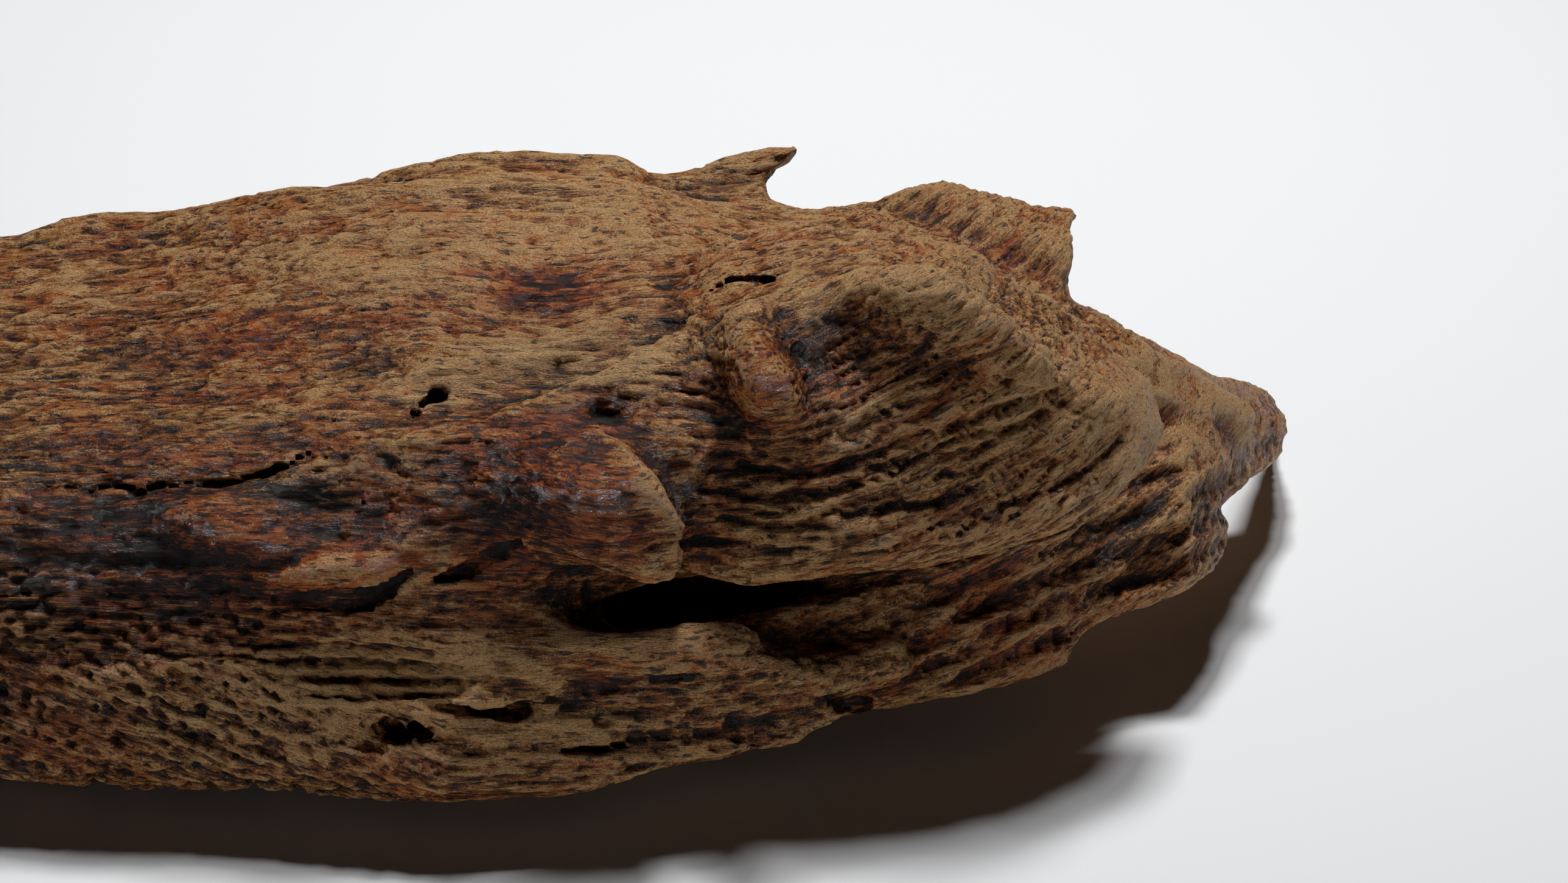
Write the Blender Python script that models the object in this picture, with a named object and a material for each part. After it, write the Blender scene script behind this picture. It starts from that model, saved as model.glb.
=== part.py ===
"""A hand-sized piece of agarwood: one weathered chunk with its grain along X, lying on a worn flat spot.

The chunk is drawn in millimetres in a leaning frame and stood up at the end. In the leaning frame
s runs along the grain, t up the front face and d out of it, and LEAN tips t back from upright.
Every form is a signed distance, less than zero inside the wood. Forms are blended together or
carved out of each other, and the surface where the distance is zero becomes the solid.
"""

import math

import bmesh
import bpy
import numpy as np
import openvdb

# Driving sizes, in millimetres and degrees
LEAN = math.radians(30)
LOW, HIGH = (-114, -38, -62), (49, 33, 12)
CELL = 0.75
COARSE = 4
MOST_TRIANGLES = 11600
REST_HEIGHT = -31.2
END_OF_WOOD = 43.0
LEFT_BREAK = -99.0
WOOD = (0.105, 0.043, 0.018)
WOOD_ROUGHNESS = 0.48

# The trunk of the chunk: sections along s
STATION = (-108, -103, -95, -84, -64, -54, -44, -24, -14, -4, 10, 22, 30, 36, 44)
FRONT_DEPTH = (-14, -10, -6, -3.4, -1.2, -0.5, 0.1, 0.7, -2, -5, -10, -16, -21, -25, -33)
CREST_HEIGHT = (-14, -11, -8, -6.5, -4.4, -3.7, -3, 1.2, 5, 8, 9, 8, 6, 3, 0)
TOP_SLOPE = (25, 20, 14, 10, 9, 8.8, 12.2, 9.6, 6.8, -2.5, -3, -7, -9, -10, -10)
UNDERSIDE = (-17, -20, -24.5, -29, -32, -32.1, -32.2, -32, -31.6, -30, -26.5, -21, -17.5, -17.5, -20)
REAR = (13, 20, 28, 36.5, 41, 41.5, 42, 42.5, 42.5, 42.5, 42, 39, 36.5, 36.5, 38)
LOWER_EDGE = (2, -9, -17, -24.5, -29.6, -30.3, -30.8, -31.2, -28.5, -25, -18.5, -12, -7, -3, 0)

# How its faces are rounded: how strongly, and round which height or depth
LEFT_ROUND, LEFT_MIDDLE = 0.010, -14
UNDER_ROUND_FRONT, UNDER_ROUND_REAR, UNDER_MIDDLE = 0.006, 0.012, 14
REAR_ROUND, REAR_MIDDLE = 0.012, -8
# Width of the rounding where two of its faces meet
CREST_EDGE, FRONT_EDGE, FOOT_EDGE, REAR_EDGE, SHOULDER_EDGE, END_EDGE = 4, 6, 4, 7, 6, 2

# Furrows along the rear and the underside, upright: points on each, then its radii
FURROWS = (
    (
        ((-100, 30, 0), (-72, 42, 0), (-46, 46.5, -3), (-24, 46.5, -2), (-8, 46, -4)),
        (1, 3.6, 5, 4, 1),
    ),
    (((-62, 45, -13), (-40, 48, -15.5), (-12, 48.5, -14), (14, 46.5, -16)), (1.5, 5, 6, 1.5)),
    (
        ((-90, 8, -31.5), (-70, 20, -35.2), (-40, 25, -35.6), (-10, 27, -34.6), (8, 28, -31)),
        (2, 5, 5, 4.6, 2),
    ),
    (((-30, -2, -34.8), (-15, 3, -34.8), (2, 8, -31.2), (20, 11, -24)), (1, 3.4, 3.6, 2)),
)
# A slab has split off low on the rear: middle, half size, and how sharp its edges are
SPLIT_OFF = ((-62, 46, -25), (27, 7.5, 8.5), 0.8)
REAR_KNOT = ((-22, 42.5, -11), (9, 4, 5.5))

# The flange, a thin blade that runs out to the right under the head
FLANGE_RIM = (
    (-33.8, -16.9), (-4.5, -3.8), (21.5, 4.4), (31.9, 8.1), (34.6, 7.4), (37.7, 6.2), (41.9, 5.7),
    (44.8, 4.8), (46, 2.5), (46.5, 1), (45.2, -0.3), (44.3, -1.7), (42.4, -3.1), (40.1, -4.1),
    (38.9, -4.7), (37.8, -5.9), (38.7, -7.4), (38, -9.4), (37, -10.9), (34.8, -12.5),
    (32.2, -13.7), (29.5, -14.4), (26.2, -15.7), (24.7, -16.9), (23.5, -18.5), (21.4, -19.4),
    (18.2, -20.7), (14, -21.4), (9.9, -22.3), (5.8, -23), (-0.4, -24.9), (-9.5, -26.4),
    (-24.6, -26.5),
)
FLANGE_HALF = 2.1
FLANGE_SWELLS_AT, FLANGE_SWELLS_BY = 36, 0.32
FLANGE_LEAN = 0.9
# Height of its rim along s, and how deep its front lies along s
FLANGE_FOOT = ((-24, -4, 24, 41), (-27, -25, -15, 0))
FLANGE_RUN = (
    (-24, -10, 0, 8, 14, 21, 26, 30, 34.7, 37, 40, 43, 46),
    (-2.6, -5.2, -8.6, -11.2, -11.8, -14, -17.3, -19.6, -20.4, -24.5, -31, -39, -46),
)
RIDGE_PITCH = 2.7
RIDGE_HEIGHT = 0.45

# The head, the swollen knot over the flange: the ridge round its face
HEAD_RIDGE = (
    (-9.8, -7.8), (-8.8, -11.3), (-5.4, -12.1), (0.6, -11.4), (10.7, -10.4), (18.2, -8.8),
    (23.3, -7), (27.4, -4.6), (30.1, -2), (30.9, 1), (28.8, 3.8), (21.8, 7.6), (15.7, 10.3),
    (12.2, 14.3), (7.2, 15.9), (0.6, 15), (-4.4, 13.1), (-7.5, 9.1), (-10.4, 4.3), (-11.1, -1.8),
)
HEAD_FRONT, HEAD_BACK, HEAD_TOP = 1.6, -15, 12.6
HEAD_MIDDLE = (2, -3)
# How strongly its face is rounded to the left, to the right, below and above
HEAD_ROUND = (0.020, 0.0125, 0.020, 0.006)

# Rounded swellings: name, points on it, radii there, width of the blend
SWELLINGS = (
    (
        "rear lip",
        ((-40.6, 22, -34), (-31.8, 22.6, -33), (-23.7, 23.3, -33), (-15.3, 23.9, -32)),
        (1.2, 2.2, 2.4, 1.8),
        4,
    ),
    (
        "crest lip",
        (
            (-43.7, -3.8, -2.6), (-34.6, -1.4, -2), (-25.5, 0.4, -2), (-19.5, 2.9, -2.8),
            (-12, 6.2, -4.5), (-6.5, 9.1, -6),
        ),
        (1.2, 2, 2.4, 2.7, 2.7, 2.8),
        2,
    ),
    (
        "knuckle",
        ((-28.2, -3.8, -5), (-21.1, -3.9, -3), (-15.6, -4.8, 0.9), (-11.3, -7.9, 1.4)),
        (6.2, 6.8, 5.5, 3.7),
        2.0,
    ),
    (
        "knuckle rim",
        ((-15.6, -0.1, 1.2), (-12, -3.3, 4.2), (-9.2, -7.1, 3.6)),
        (1.3, 1.7, 1.8),
        1.2,
    ),
    (
        "nose",
        ((-3.3, 9.5, -0.5), (-2.4, 6.7, 1.4), (-1.3, 3.8, 2.2), (-0.6, 1.7, 1.6)),
        (2.4, 2.7, 3, 2),
        1.6,
    ),
    ("nose ridge", ((-2.4, 7.9, 3.4), (-1, 4.2, 4.2)), (0.9, 1.1), 1),
    (
        "fold along the flange",
        ((-10.5, -18.1, -2.4), (-4.4, -18.9, -3.8), (2.1, -19.3, -5.8), (8.3, -18.1, -8)),
        (1.4, 2.4, 2.2, 1.4),
        3,
    ),
    ("back of the flange", ((32, 1, -35), (39, 0.8, -42), (43, 0.5, -45)), (4, 3.6, 2.6), 3),
    (
        "between the knuckle and the nose",
        ((-11.4, 3.3, -3), (-9.5, -0.3, -1.4), (-7.9, -4.3, -0.8)),
        (2.6, 3.0, 2.4),
        3,
    ),
    (
        "brow",
        ((7.1, 12.3, -1.2), (11.6, 11.8, -0.2), (15.1, 9.8, -0.8), (19.7, 6.8, -2.5)),
        (1.8, 2.8, 2.4, 1.8),
        3.5,
    ),
)
# Long lumps: name, middle, radii, turn about d in degrees, width of the blend
LUMPS = (
    ("lens", (-37.5, -10.3, -0.9), (7, 2.3, 2.9), 3, 1),
    ("fold over the lens", (-45.3, -6.9, -1.5), (6, 3.2, 3), -10, 2),
    ("fold beside the lens", (-29.5, -7.8, -1.6), (6, 2.4, 2.8), 14, 1.5),
    ("bulge left of the cleft", (-15.3, -16.8, -2.8), (13, 2.8, 3.6), 4, 3),
    ("knot on the upper side", (-20.4, 12.9, -20), (5.4, 3.2, 5), 0, 2),
)
# The fin and the horn, thin blades that rise along the rear edge
FIN_LEAN, HORN_LEAN = 0.8, 0.4
FIN_OUTLINE = (
    (6.1, 20.7), (8.3, 22), (10.4, 23.1), (13.7, 23.8), (15.3, 23.5), (18.1, 22.5), (19.7, 22.1),
    (22.4, 21.6), (25.2, 21.4), (26.4, 20.8), (26.1, 19.7), (25.1, 18.5), (24.7, 16.6), (24.5, 15),
    (23.8, 12.9), (23.5, 9), (11.5, 4.6), (5, 13.3),
)
HORN_OUTLINE = (
    (-13.4, 23.4), (-9.6, 24.2), (-5.8, 25.6), (-2.6, 26.2), (0.2, 26.7), (1, 26.4), (0.6, 25.5),
    (-0.7, 24.1), (-1.8, 23), (-2.2, 21.6), (-1.6, 20.6), (0.6, 16.5), (-10.2, 14.3),
)
# The broken splinter along the lower edge, and the rim of the scallop over it
SPLINTER_OUTLINE = (
    (-36.5, -25.3), (-32.5, -25.1), (-29.5, -24.4), (-23, -23.1), (-19.5, -21.6), (-14.5, -20.6),
    (-5.4, -19.9), (-4.6, -21.5), (-1.9, -21.8), (2.1, -21.6), (5.8, -22.4), (2.6, -23.8),
    (-0.4, -24.9), (-9.5, -26.7), (-16.5, -28.9), (-29.5, -28.8),
)
SCALLOP_RIM = (
    ((-34.4, -16, 0.2), (-30.3, -17, 0.8), (-27.6, -18.8, 1.4), (-26.5, -20.6, 1.2), (-24.1, -21, 0.4)),
    (0.9, 1.1, 1.3, 1.2, 0.9),
)

# Channels worn or cracked into the wood: name, points, radii, width of the blend
CHANNELS = (
    (
        "cleft under the head",
        (
            (-20.3, -12.5, 1), (-16.9, -13, -0.5), (-12, -13.9, -2.5), (-7.5, -13.5, -4),
            (-1.9, -12.3, -5), (4.7, -11.4, -6), (11.8, -10.5, -7.5), (20, -8.4, -9),
            (26.3, -6, -11), (30.6, -2.8, -13),
        ),
        (1, 2, 3, 2.9, 2.4, 1.8, 1.6, 1.6, 1.5, 1.1),
        0.8,
    ),
    (
        "back of the cleft",
        (
            (-14.1, -13.9, -5), (-9.6, -13.3, -8), (-2.5, -12, -9), (4.7, -11.1, -8.4),
            (11.9, -10, -9.6), (20.1, -7.9, -11.2), (25.9, -5.7, -13),
        ),
        (1.2, 2.5, 2.4, 1.6, 1.4, 1.4, 1),
        0.8,
    ),
    (
        "groove behind the crest",
        ((-37.4, 1.7, 0.2), (-29.9, 4, -0.6), (-22, 6, -2.4), (-14.6, 8.3, -4.2), (-10, 9.9, -5.6)),
        (1, 2.2, 2.4, 2, 1),
        2.5,
    ),
    (
        "hole in the groove",
        ((-28.5, 4.1, -3), (-30.3, 3.4, -7), (-31.7, 2.1, -6), (-30.9, 1, -3)),
        (0.5, 0.8, 0.7, 0.4),
        0.4,
    ),
    ("socket", ((2.8, 11.2, 3), (5.1, 6.7, 3.6), (8, 1.7, 4.4)), (1.6, 2.8, 1.8), 4),
    (
        "dent under the nose",
        ((-5.9, 1.2, 3), (0.6, -0.2, 3.4), (8, -0.5, 3.6)),
        (1.2, 1.7, 1.2),
        1.5,
    ),
    (
        "valley by the knuckle",
        ((-12.6, 1.7, 2.2), (-9.6, -2, 3.2), (-7.3, -6, 2.6), (-6.4, -10.2, 1.2)),
        (0.4, 0.9, 1.4, 1.3),
        1.8,
    ),
    (
        "slot under the lens",
        (
            (-45.3, -13.9, 1.2), (-40.7, -13.1, 0.8), (-36.6, -13.2, 0.8), (-33.6, -12.3, 0.6),
            (-30.7, -10.3, 1),
        ),
        (0.3, 0.8, 1, 0.8, 0.3),
        0.4,
    ),
    (
        "slot over the lens",
        ((-49.2, -11.5, 1.6), (-44.8, -10.7, 1.4), (-40.1, -9.4, 1.8), (-37.2, -8.6, 2.4)),
        (0.3, 0.6, 0.6, 0.3),
        0.4,
    ),
    (
        "slot beside the lens",
        ((-30.4, -11.5, 0.6), (-27.4, -10.7, 0.8), (-24.3, -9.4, 1.2), (-21.8, -8, 2.2)),
        (0.3, 0.6, 0.6, 0.3),
        0.4,
    ),
    (
        "cave over the splinter",
        (
            (-34.1, -23.6, 0.6), (-31.1, -23.3, -1), (-27.5, -22.8, -1.6), (-24, -22.3, -1),
            (-20.9, -21.7, 0.2),
        ),
        (0.8, 1.5, 1.7, 1.3, 0.4),
        0.6,
    ),
    (
        "gap behind the splinter",
        ((-11.5, -19.5, -2.6), (-5.5, -19.3, -5.2), (0.6, -20.5, -8.2), (6.3, -21.9, -10.5)),
        (0.5, 1, 1.2, 0.7),
        0.4,
    ),
    (
        "crack over the splinter",
        ((-21.9, -21.5, 0.4), (-16.9, -20.5, 0.6), (-11.9, -19.6, 0.2), (-6.4, -18.8, -1)),
        (0.4, 0.5, 0.45, 0.3),
        0.4,
    ),
)
# The scallop, a shallow oval hollow: middle, radii, turn about d in degrees, width of the blend
SCALLOP = ((-34.2, -18.6, 2.2), (8.6, 2.8, 3.1), -6, 0.8)

# Ribs on the rear: length and width of the broad and of the narrow ones, and how high they stand
RIB_SIZES = ((46, 11, 11), (24, 4.2, 4.2))
RIB_HEIGHTS = (6, 2.4)
RIB_LEVEL = 1.6
# Slow swells all over: size along, up and into the wood, and height
SWELL_SIZES = ((24, 9, 11), (10.5, 4, 5))
SWELL_HEIGHTS = (1.2, 0.7)

FAR = 1000.0
SINE, COSINE = math.sin(LEAN), math.cos(LEAN)
random = np.random.default_rng(7)
SHUFFLE = random.permutation(256)
SLOPES = random.normal(size=(256, 3))
SLOPES = (SLOPES / np.linalg.norm(SLOPES, axis=1)[:, None]).astype(np.float32)


def upright(p):
    """Leaning points stood up: x along the grain, y to the rear, z up."""
    s, t, d = p.T
    return np.stack([s, t * SINE - d * COSINE, t * COSINE + d * SINE], axis=1)


def blend(a, b, width):
    overlap = np.maximum(width - np.abs(a - b), 0) / width
    return np.minimum(a, b) - overlap * overlap * width / 4


def meet(a, b, width):
    return -blend(-a, -b, width)


def carve(a, hollow, width):
    return -blend(-a, hollow, width)


def section(s, values):
    """A smooth curve through one value per station."""
    k, v = np.asarray(STATION, float), np.asarray(values, float)
    m = np.gradient(v, k)
    i = np.clip(np.searchsorted(k, s) - 1, 0, len(k) - 2)
    h = k[i + 1] - k[i]
    u = np.clip((s - k[i]) / h, 0, 1)
    ends = (1 + 2 * u) * (1 - u) ** 2 * v[i] + u * u * (3 - 2 * u) * v[i + 1]
    return (ends + h * (u * (1 - u) ** 2 * m[i] + u * u * (u - 1) * m[i + 1])).astype(np.float32)


def near(p, points, reach):
    points = np.atleast_2d(points)
    return np.all((p > points.min(0) - reach) & (p < points.max(0) + reach), axis=1)


def through(rows, steps=3):
    """Rows joined by a smooth curve, with a few more rows between each pair."""
    if len(rows) < 3:
        return rows
    r = np.vstack([2 * rows[0] - rows[1], rows, 2 * rows[-1] - rows[-2]])
    out = []
    for a, b, c, d in zip(r, r[1:], r[2:], r[3:]):
        bow, twist = 2 * a - 5 * b + 4 * c - d, 3 * b - a - 3 * c + d
        out.extend(b + 0.5 * ((c - a) * u + bow * u * u + twist * u**3) for u in np.arange(steps) / steps)
    return np.array(out + [rows[-1]])


def limb(p, points, radii, reach=8):
    """A round, tapering limb along a smooth path."""
    path = through(np.column_stack([points, radii]).astype(np.float32))
    out = np.full(len(p), FAR, np.float32)
    close = near(p, path[:, :3], max(radii) + reach)
    q = p[close]
    best = np.full(len(q), FAR, np.float32)
    for a, b in zip(path, path[1:]):
        run = (b - a)[:3]
        u = np.clip((q - a[:3]) @ run / (run @ run), 0, 1)
        gap = q - a[:3] - u[:, None] * run
        best = np.minimum(best, np.sqrt((gap * gap).sum(1)) - (a[3] + (b[3] - a[3]) * u))
    out[close] = best
    return out


def lump(p, middle, radii, turn=0, reach=8):
    """A long rounded lump, turned about d by some degrees."""
    out = np.full(len(p), FAR, np.float32)
    close = near(p, middle, max(radii) + reach)
    q, r = p[close] - np.asarray(middle, np.float32), np.asarray(radii, np.float32)
    c, w = math.cos(math.radians(turn)), math.sin(math.radians(turn))
    q = q @ np.array([[c, -w, 0], [w, c, 0], [0, 0, 1]], np.float32)
    size = np.sqrt(((q / r) ** 2).sum(1))
    out[close] = size * (size - 1) / (np.sqrt(((q / (r * r)) ** 2).sum(1)) + 1e-6)
    return out


def block(p, middle, half, edge):
    gap = np.abs(p - np.asarray(middle, np.float32)) - np.asarray(half, np.float32) + edge
    return np.minimum(gap.max(1), 0) + np.sqrt((np.maximum(gap, 0) ** 2).sum(1)) - edge


def outline(s, t, corners):
    """Distance to a closed outline in the plane of the front face."""
    o = np.asarray(corners, np.float32)
    best, sign = np.full(len(s), FAR * FAR, np.float32), np.ones(len(s), np.float32)
    for a, b in zip(o, np.roll(o, 1, axis=0)):
        e, ws, wt = b - a, s - a[0], t - a[1]
        u = np.clip((ws * e[0] + wt * e[1]) / (e @ e), 0, 1)
        best = np.minimum(best, (ws - e[0] * u) ** 2 + (wt - e[1] * u) ** 2)
        above, below, left = t >= a[1], t < b[1], e[0] * wt > e[1] * ws
        sign[(above & below & left) | ~(above | below | left)] *= -1
    return sign * np.sqrt(best)


def blade(p, corners, depth, half, edge, reach=8):
    """A blade with this outline, whose middle follows depth(s, t)."""
    out = np.full(len(p), FAR, np.float32)
    close = near(p[:, :2], corners, reach)
    s, t, d = p[close].T
    middle = depth(s, t)
    side = outline(s, t, corners) + edge
    face = np.abs(d - middle) - (half(s) if callable(half) else half) + edge
    round_edge = np.sqrt(np.maximum(side, 0) ** 2 + np.maximum(face, 0) ** 2)
    out[close] = np.minimum(np.maximum(side, face), 0) + round_edge - edge
    return out


def noise(p, seed):
    """Smooth seeded noise with swells one unit across, from about -0.7 to 0.7."""
    q = p + np.float32(seed * 17.31)
    i = np.floor(q).astype(np.int64)
    f = (q - i).astype(np.float32)
    w = f * f * f * (f * (f * 6 - 15) + 10)
    total = np.zeros(len(p), np.float32)
    for corner in np.ndindex(2, 2, 2):
        at = np.zeros(len(p), np.int64)
        weight = np.ones(len(p), np.float32)
        for axis, far in enumerate(corner):
            at = SHUFFLE[(at + i[:, axis] + far) & 255]
            weight = weight * (w[:, axis] if far else 1 - w[:, axis])
        total += weight * (SLOPES[at] * (f - np.array(corner, np.float32))).sum(1)
    return total


def trunk(p):
    u = upright(p)
    (s, t, d), (y, z) = p.T, u.T[1:]
    crest, front = section(s, CREST_HEIGHT), section(s, FRONT_DEPTH)
    f = d - front + LEFT_ROUND * (t - LEFT_MIDDLE) ** 2 * np.clip((-s - 20) / 30, 0, 1)
    crest_y, crest_z = crest * SINE - front * COSINE, crest * COSINE + front * SINE
    slope = np.radians(section(s, TOP_SLOPE))
    rise = np.tan(slope)
    f = meet(f, (z - crest_z - rise * (y - crest_y)) * np.cos(slope) - 1.2, CREST_EDGE)
    f = meet(f, section(s, LOWER_EDGE) - t, FRONT_EDGE)
    under = np.where(y < UNDER_MIDDLE, UNDER_ROUND_FRONT, UNDER_ROUND_REAR) * (y - UNDER_MIDDLE) ** 2
    f = meet(f, section(s, UNDERSIDE) - z + under, FOOT_EDGE)
    rear = section(s, REAR) + 2 * np.sin(s * 0.085 + 0.6) + np.sin(s * 0.21)
    f = meet(f, y - rear + REAR_ROUND * (z - REAR_MIDDLE) ** 2, REAR_EDGE)
    shoulder = (y - rear) * 0.8 + (z - crest_z - rise * (rear - crest_y)) * 0.6 + 2.5
    f = meet(f, shoulder, SHOULDER_EDGE)
    return meet(f, np.maximum(left_break(s, y, z), s - END_OF_WOOD), END_EDGE)


def left_break(s, y, z):
    """The left end is snapped off, in long spurs that follow the grain."""
    across = np.stack([np.full_like(y, 3.3), y / 12, z / 7], axis=1)
    fine = np.stack([np.full_like(y, 1.7), y / 5, z / 3], axis=1)
    spurs = 15 * noise(across, 11) + 6 * noise(fine, 12)
    return (LEFT_BREAK - 0.35 * (z + 9) + 0.2 * np.maximum(y - 8, 0) - spurs - s) * 0.6


def flange_half(s):
    """The flange thickens where it turns back at its right end."""
    return FLANGE_HALF + FLANGE_SWELLS_BY * np.maximum(s - FLANGE_SWELLS_AT, 0)


def flange_depth(s, t):
    """The flange goes back to the right, leans away above, and is ridged along its rim."""
    rim = np.interp(s, *FLANGE_FOOT)
    leans_away = 0.10 * (t - rim) + FLANGE_LEAN * np.maximum(t + 2, 0) * np.clip((s - 24) / 8, 0, 1)
    depth = np.interp(s, *FLANGE_RUN) - flange_half(s) - leans_away
    across = t - 0.40 * (s - 8) + 0.6 * np.sin(0.23 * s)
    height = RIDGE_HEIGHT * (0.8 + 0.4 * np.sin(0.31 * s + 1.1 * t))
    ridges = height * np.cos(across * 2 * math.pi / RIDGE_PITCH)
    thick_rim = 0.8 * np.exp(-(((t - rim - 1.2) / 1.8) ** 2))
    return depth + ridges * np.clip((2 - t) / 4, 0.15, 1) + thick_rim


def head(p):
    s, t, d = p.T
    left, right, below, above = HEAD_ROUND
    across, up = s - HEAD_MIDDLE[0], t - HEAD_MIDDLE[1]
    front = d - HEAD_FRONT + np.where(across > 0, right, left) * across**2
    front = front + np.where(up < 0, below, above) * up**2
    widens = 0.10 + 0.42 * np.clip(t / 6 + 0.6, 0, 1)
    f = meet(outline(s, t, HEAD_RIDGE) + (front + 1) * widens, front, 2.2)
    f = np.maximum(f, HEAD_BACK - d)
    y, z = upright(p).T[1:]
    return meet(f, z - HEAD_TOP + 0.015 * (s - 6) ** 2 + 0.14 * np.maximum(y - 6, 0), 5)


def fin_depth(s, t):
    return -31 + 0.12 * (s - 10) - FIN_LEAN * (t - 17) + 0.8 * np.sin(t * 0.7 + s * 0.35)


def horn_depth(s, t):
    return -33 + 0.1 * (s + 4) - HORN_LEAN * (t - 22)


def splinter_half(s):
    return 2.8 - 0.040 * (s + 24)


def splinter_depth(s, t):
    return 0.8 - 0.0052 * (s + 30) ** 2 - splinter_half(s)


def ribs(p):
    """Long weathered ribs and furrows on the rear, the underside and the left end."""
    y, z = upright(p).T[1:]
    where = np.clip((y - 8) / 18, 0, 1) * np.clip((1 - z) / 8, 0, 1) + np.clip((-72 - p[:, 0]) / 12, 0, 1)
    broad, narrow = (noise(p / np.array(size, np.float32), 21 + i) for i, size in enumerate(RIB_SIZES))
    height = RIB_HEIGHTS[0] * np.abs(broad) + RIB_HEIGHTS[1] * np.abs(narrow) - RIB_LEVEL
    return np.minimum(where, 1) * height


def swells(p):
    """Slow swells and dents, drawn out along the grain."""
    long, short = (noise(p / np.array(size, np.float32), 3 + 4 * i) for i, size in enumerate(SWELL_SIZES))
    return SWELL_HEIGHTS[0] * long + SWELL_HEIGHTS[1] * short


def wood(p):
    """The whole chunk as one signed distance."""
    u = upright(p)
    f = trunk(p)
    for points, radii in FURROWS:
        f = carve(f, limb(u, points, radii), 2.5)
    f = carve(f, block(u, *SPLIT_OFF), 1.2)
    f = blend(f, lump(u, *REAR_KNOT), 5)
    f = f + ribs(p)
    f = blend(f, blade(p, FLANGE_RIM, flange_depth, flange_half, 1.0), 3)
    f = blend(f, head(p), 2)
    for _, points, radii, width in SWELLINGS:
        f = blend(f, limb(p, points, radii), width)
    for _, middle, radii, turn, width in LUMPS:
        f = blend(f, lump(p, middle, radii, turn), width)
    f = blend(f, blade(p, FIN_OUTLINE, fin_depth, 2.0, 1.5), 2.5)
    f = blend(f, blade(p, HORN_OUTLINE, horn_depth, 2.0, 1.6), 4)
    f = blend(f, blade(p, SPLINTER_OUTLINE, splinter_depth, splinter_half, 0.6), 0.8)
    f = blend(f, limb(p, *SCALLOP_RIM), 0.8)
    f = f + swells(p)
    for _, points, radii, width in CHANNELS:
        f = carve(f, limb(p, points, radii), width)
    middle, radii, turn, width = SCALLOP
    f = carve(f, lump(p, middle, radii, turn), width)
    return np.maximum(f, REST_HEIGHT - u[:, 2])


def in_parts(field, p, size=400000):
    return np.concatenate([field(p[i : i + size]) for i in range(0, len(p), size)])


def surface(field, low, high, cell):
    """Points and faces where the field is zero, sampled finely only near that surface."""
    low = np.asarray(low, float)
    cells = np.ceil((np.asarray(high) - low) / (cell * COARSE)).astype(int)
    rough = low + cell * COARSE * np.stack(np.indices(cells + 1), -1).reshape(-1, 3)
    rough = in_parts(field, rough.astype(np.float32)).reshape(cells + 1)
    corners = [
        rough[i : i + cells[0], j : j + cells[1], k : k + cells[2]] for i, j, k in np.ndindex(2, 2, 2)
    ]
    lowest, highest = np.minimum.reduce(corners), np.maximum.reduce(corners)
    reach, cut = cell * COARSE * 2 + 1, cell * 4
    small = np.ones((COARSE,) * 3)
    values = np.full(cells * COARSE + 1, cut, np.float32)
    values[:-1, :-1, :-1] = np.kron(np.where(lowest > 0, cut, -cut), small)
    close = np.zeros(values.shape, bool)
    close[:-1, :-1, :-1] = np.kron((lowest < reach) & (highest > -reach), small) > 0
    for axis in range(3):
        close |= np.roll(close, 1, axis=axis)
    at = low + np.argwhere(close) * cell
    values[close] = np.clip(in_parts(field, at.astype(np.float32)), -cut, cut)
    grid = openvdb.FloatGrid(cut)
    grid.copyFromArray(values)
    points, triangles, quads = grid.convertToPolygons(isovalue=0.0, adaptivity=0.0)
    return points * cell + low, [face.tolist() for face in triangles] + [face.tolist() for face in quads]


def keep_largest(work):
    """Drops loose scraps and fills sealed pores: only the largest connected shell stays."""
    left, islands = set(work.verts), []
    while left:
        island = stack = [left.pop()]
        for vertex in stack:
            for edge in vertex.link_edges:
                other = edge.other_vert(vertex)
                if other in left:
                    left.remove(other)
                    stack.append(other)
        islands.append(island)
    islands.sort(key=len)
    bmesh.ops.delete(work, geom=[vertex for island in islands[:-1] for vertex in island], context="VERTS")


def solid(name, points, faces, most):
    """One closed mesh object in metres with at most this many triangles."""
    mesh = bpy.data.meshes.new(name)
    mesh.from_pydata((points / 1000).tolist(), [], faces)
    work = bmesh.new()
    work.from_mesh(mesh)
    keep_largest(work)
    bmesh.ops.recalc_face_normals(work, faces=work.faces)
    bmesh.ops.triangulate(work, faces=work.faces)
    triangles = len(work.faces)
    work.to_mesh(mesh)
    work.free()
    rough = bpy.data.objects.new(name, mesh)
    bpy.context.scene.collection.objects.link(rough)
    thin = rough.modifiers.new("Fewer triangles", "DECIMATE")
    thin.ratio = min(1.0, most / triangles)
    graph = bpy.context.evaluated_depsgraph_get()
    rough.data = bpy.data.meshes.new_from_object(rough.evaluated_get(graph))
    rough.modifiers.clear()
    bpy.data.meshes.remove(mesh)
    rough.data.name = name
    return rough


def stand_on_rest(chunk):
    """Flattens the worn spot, drops it to z = 0 and centres the chunk over the origin."""
    points = np.empty(len(chunk.data.vertices) * 3, np.float32)
    chunk.data.vertices.foreach_get("co", points)
    points = points.reshape(-1, 3)
    low, high = points.min(0), points.max(0)
    points -= np.array([(low[0] + high[0]) / 2, (low[1] + high[1]) / 2, REST_HEIGHT / 1000], np.float32)
    points[points[:, 2] < 0.00012, 2] = 0
    chunk.data.vertices.foreach_set("co", points.ravel())
    chunk.data.shade_smooth()


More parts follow.
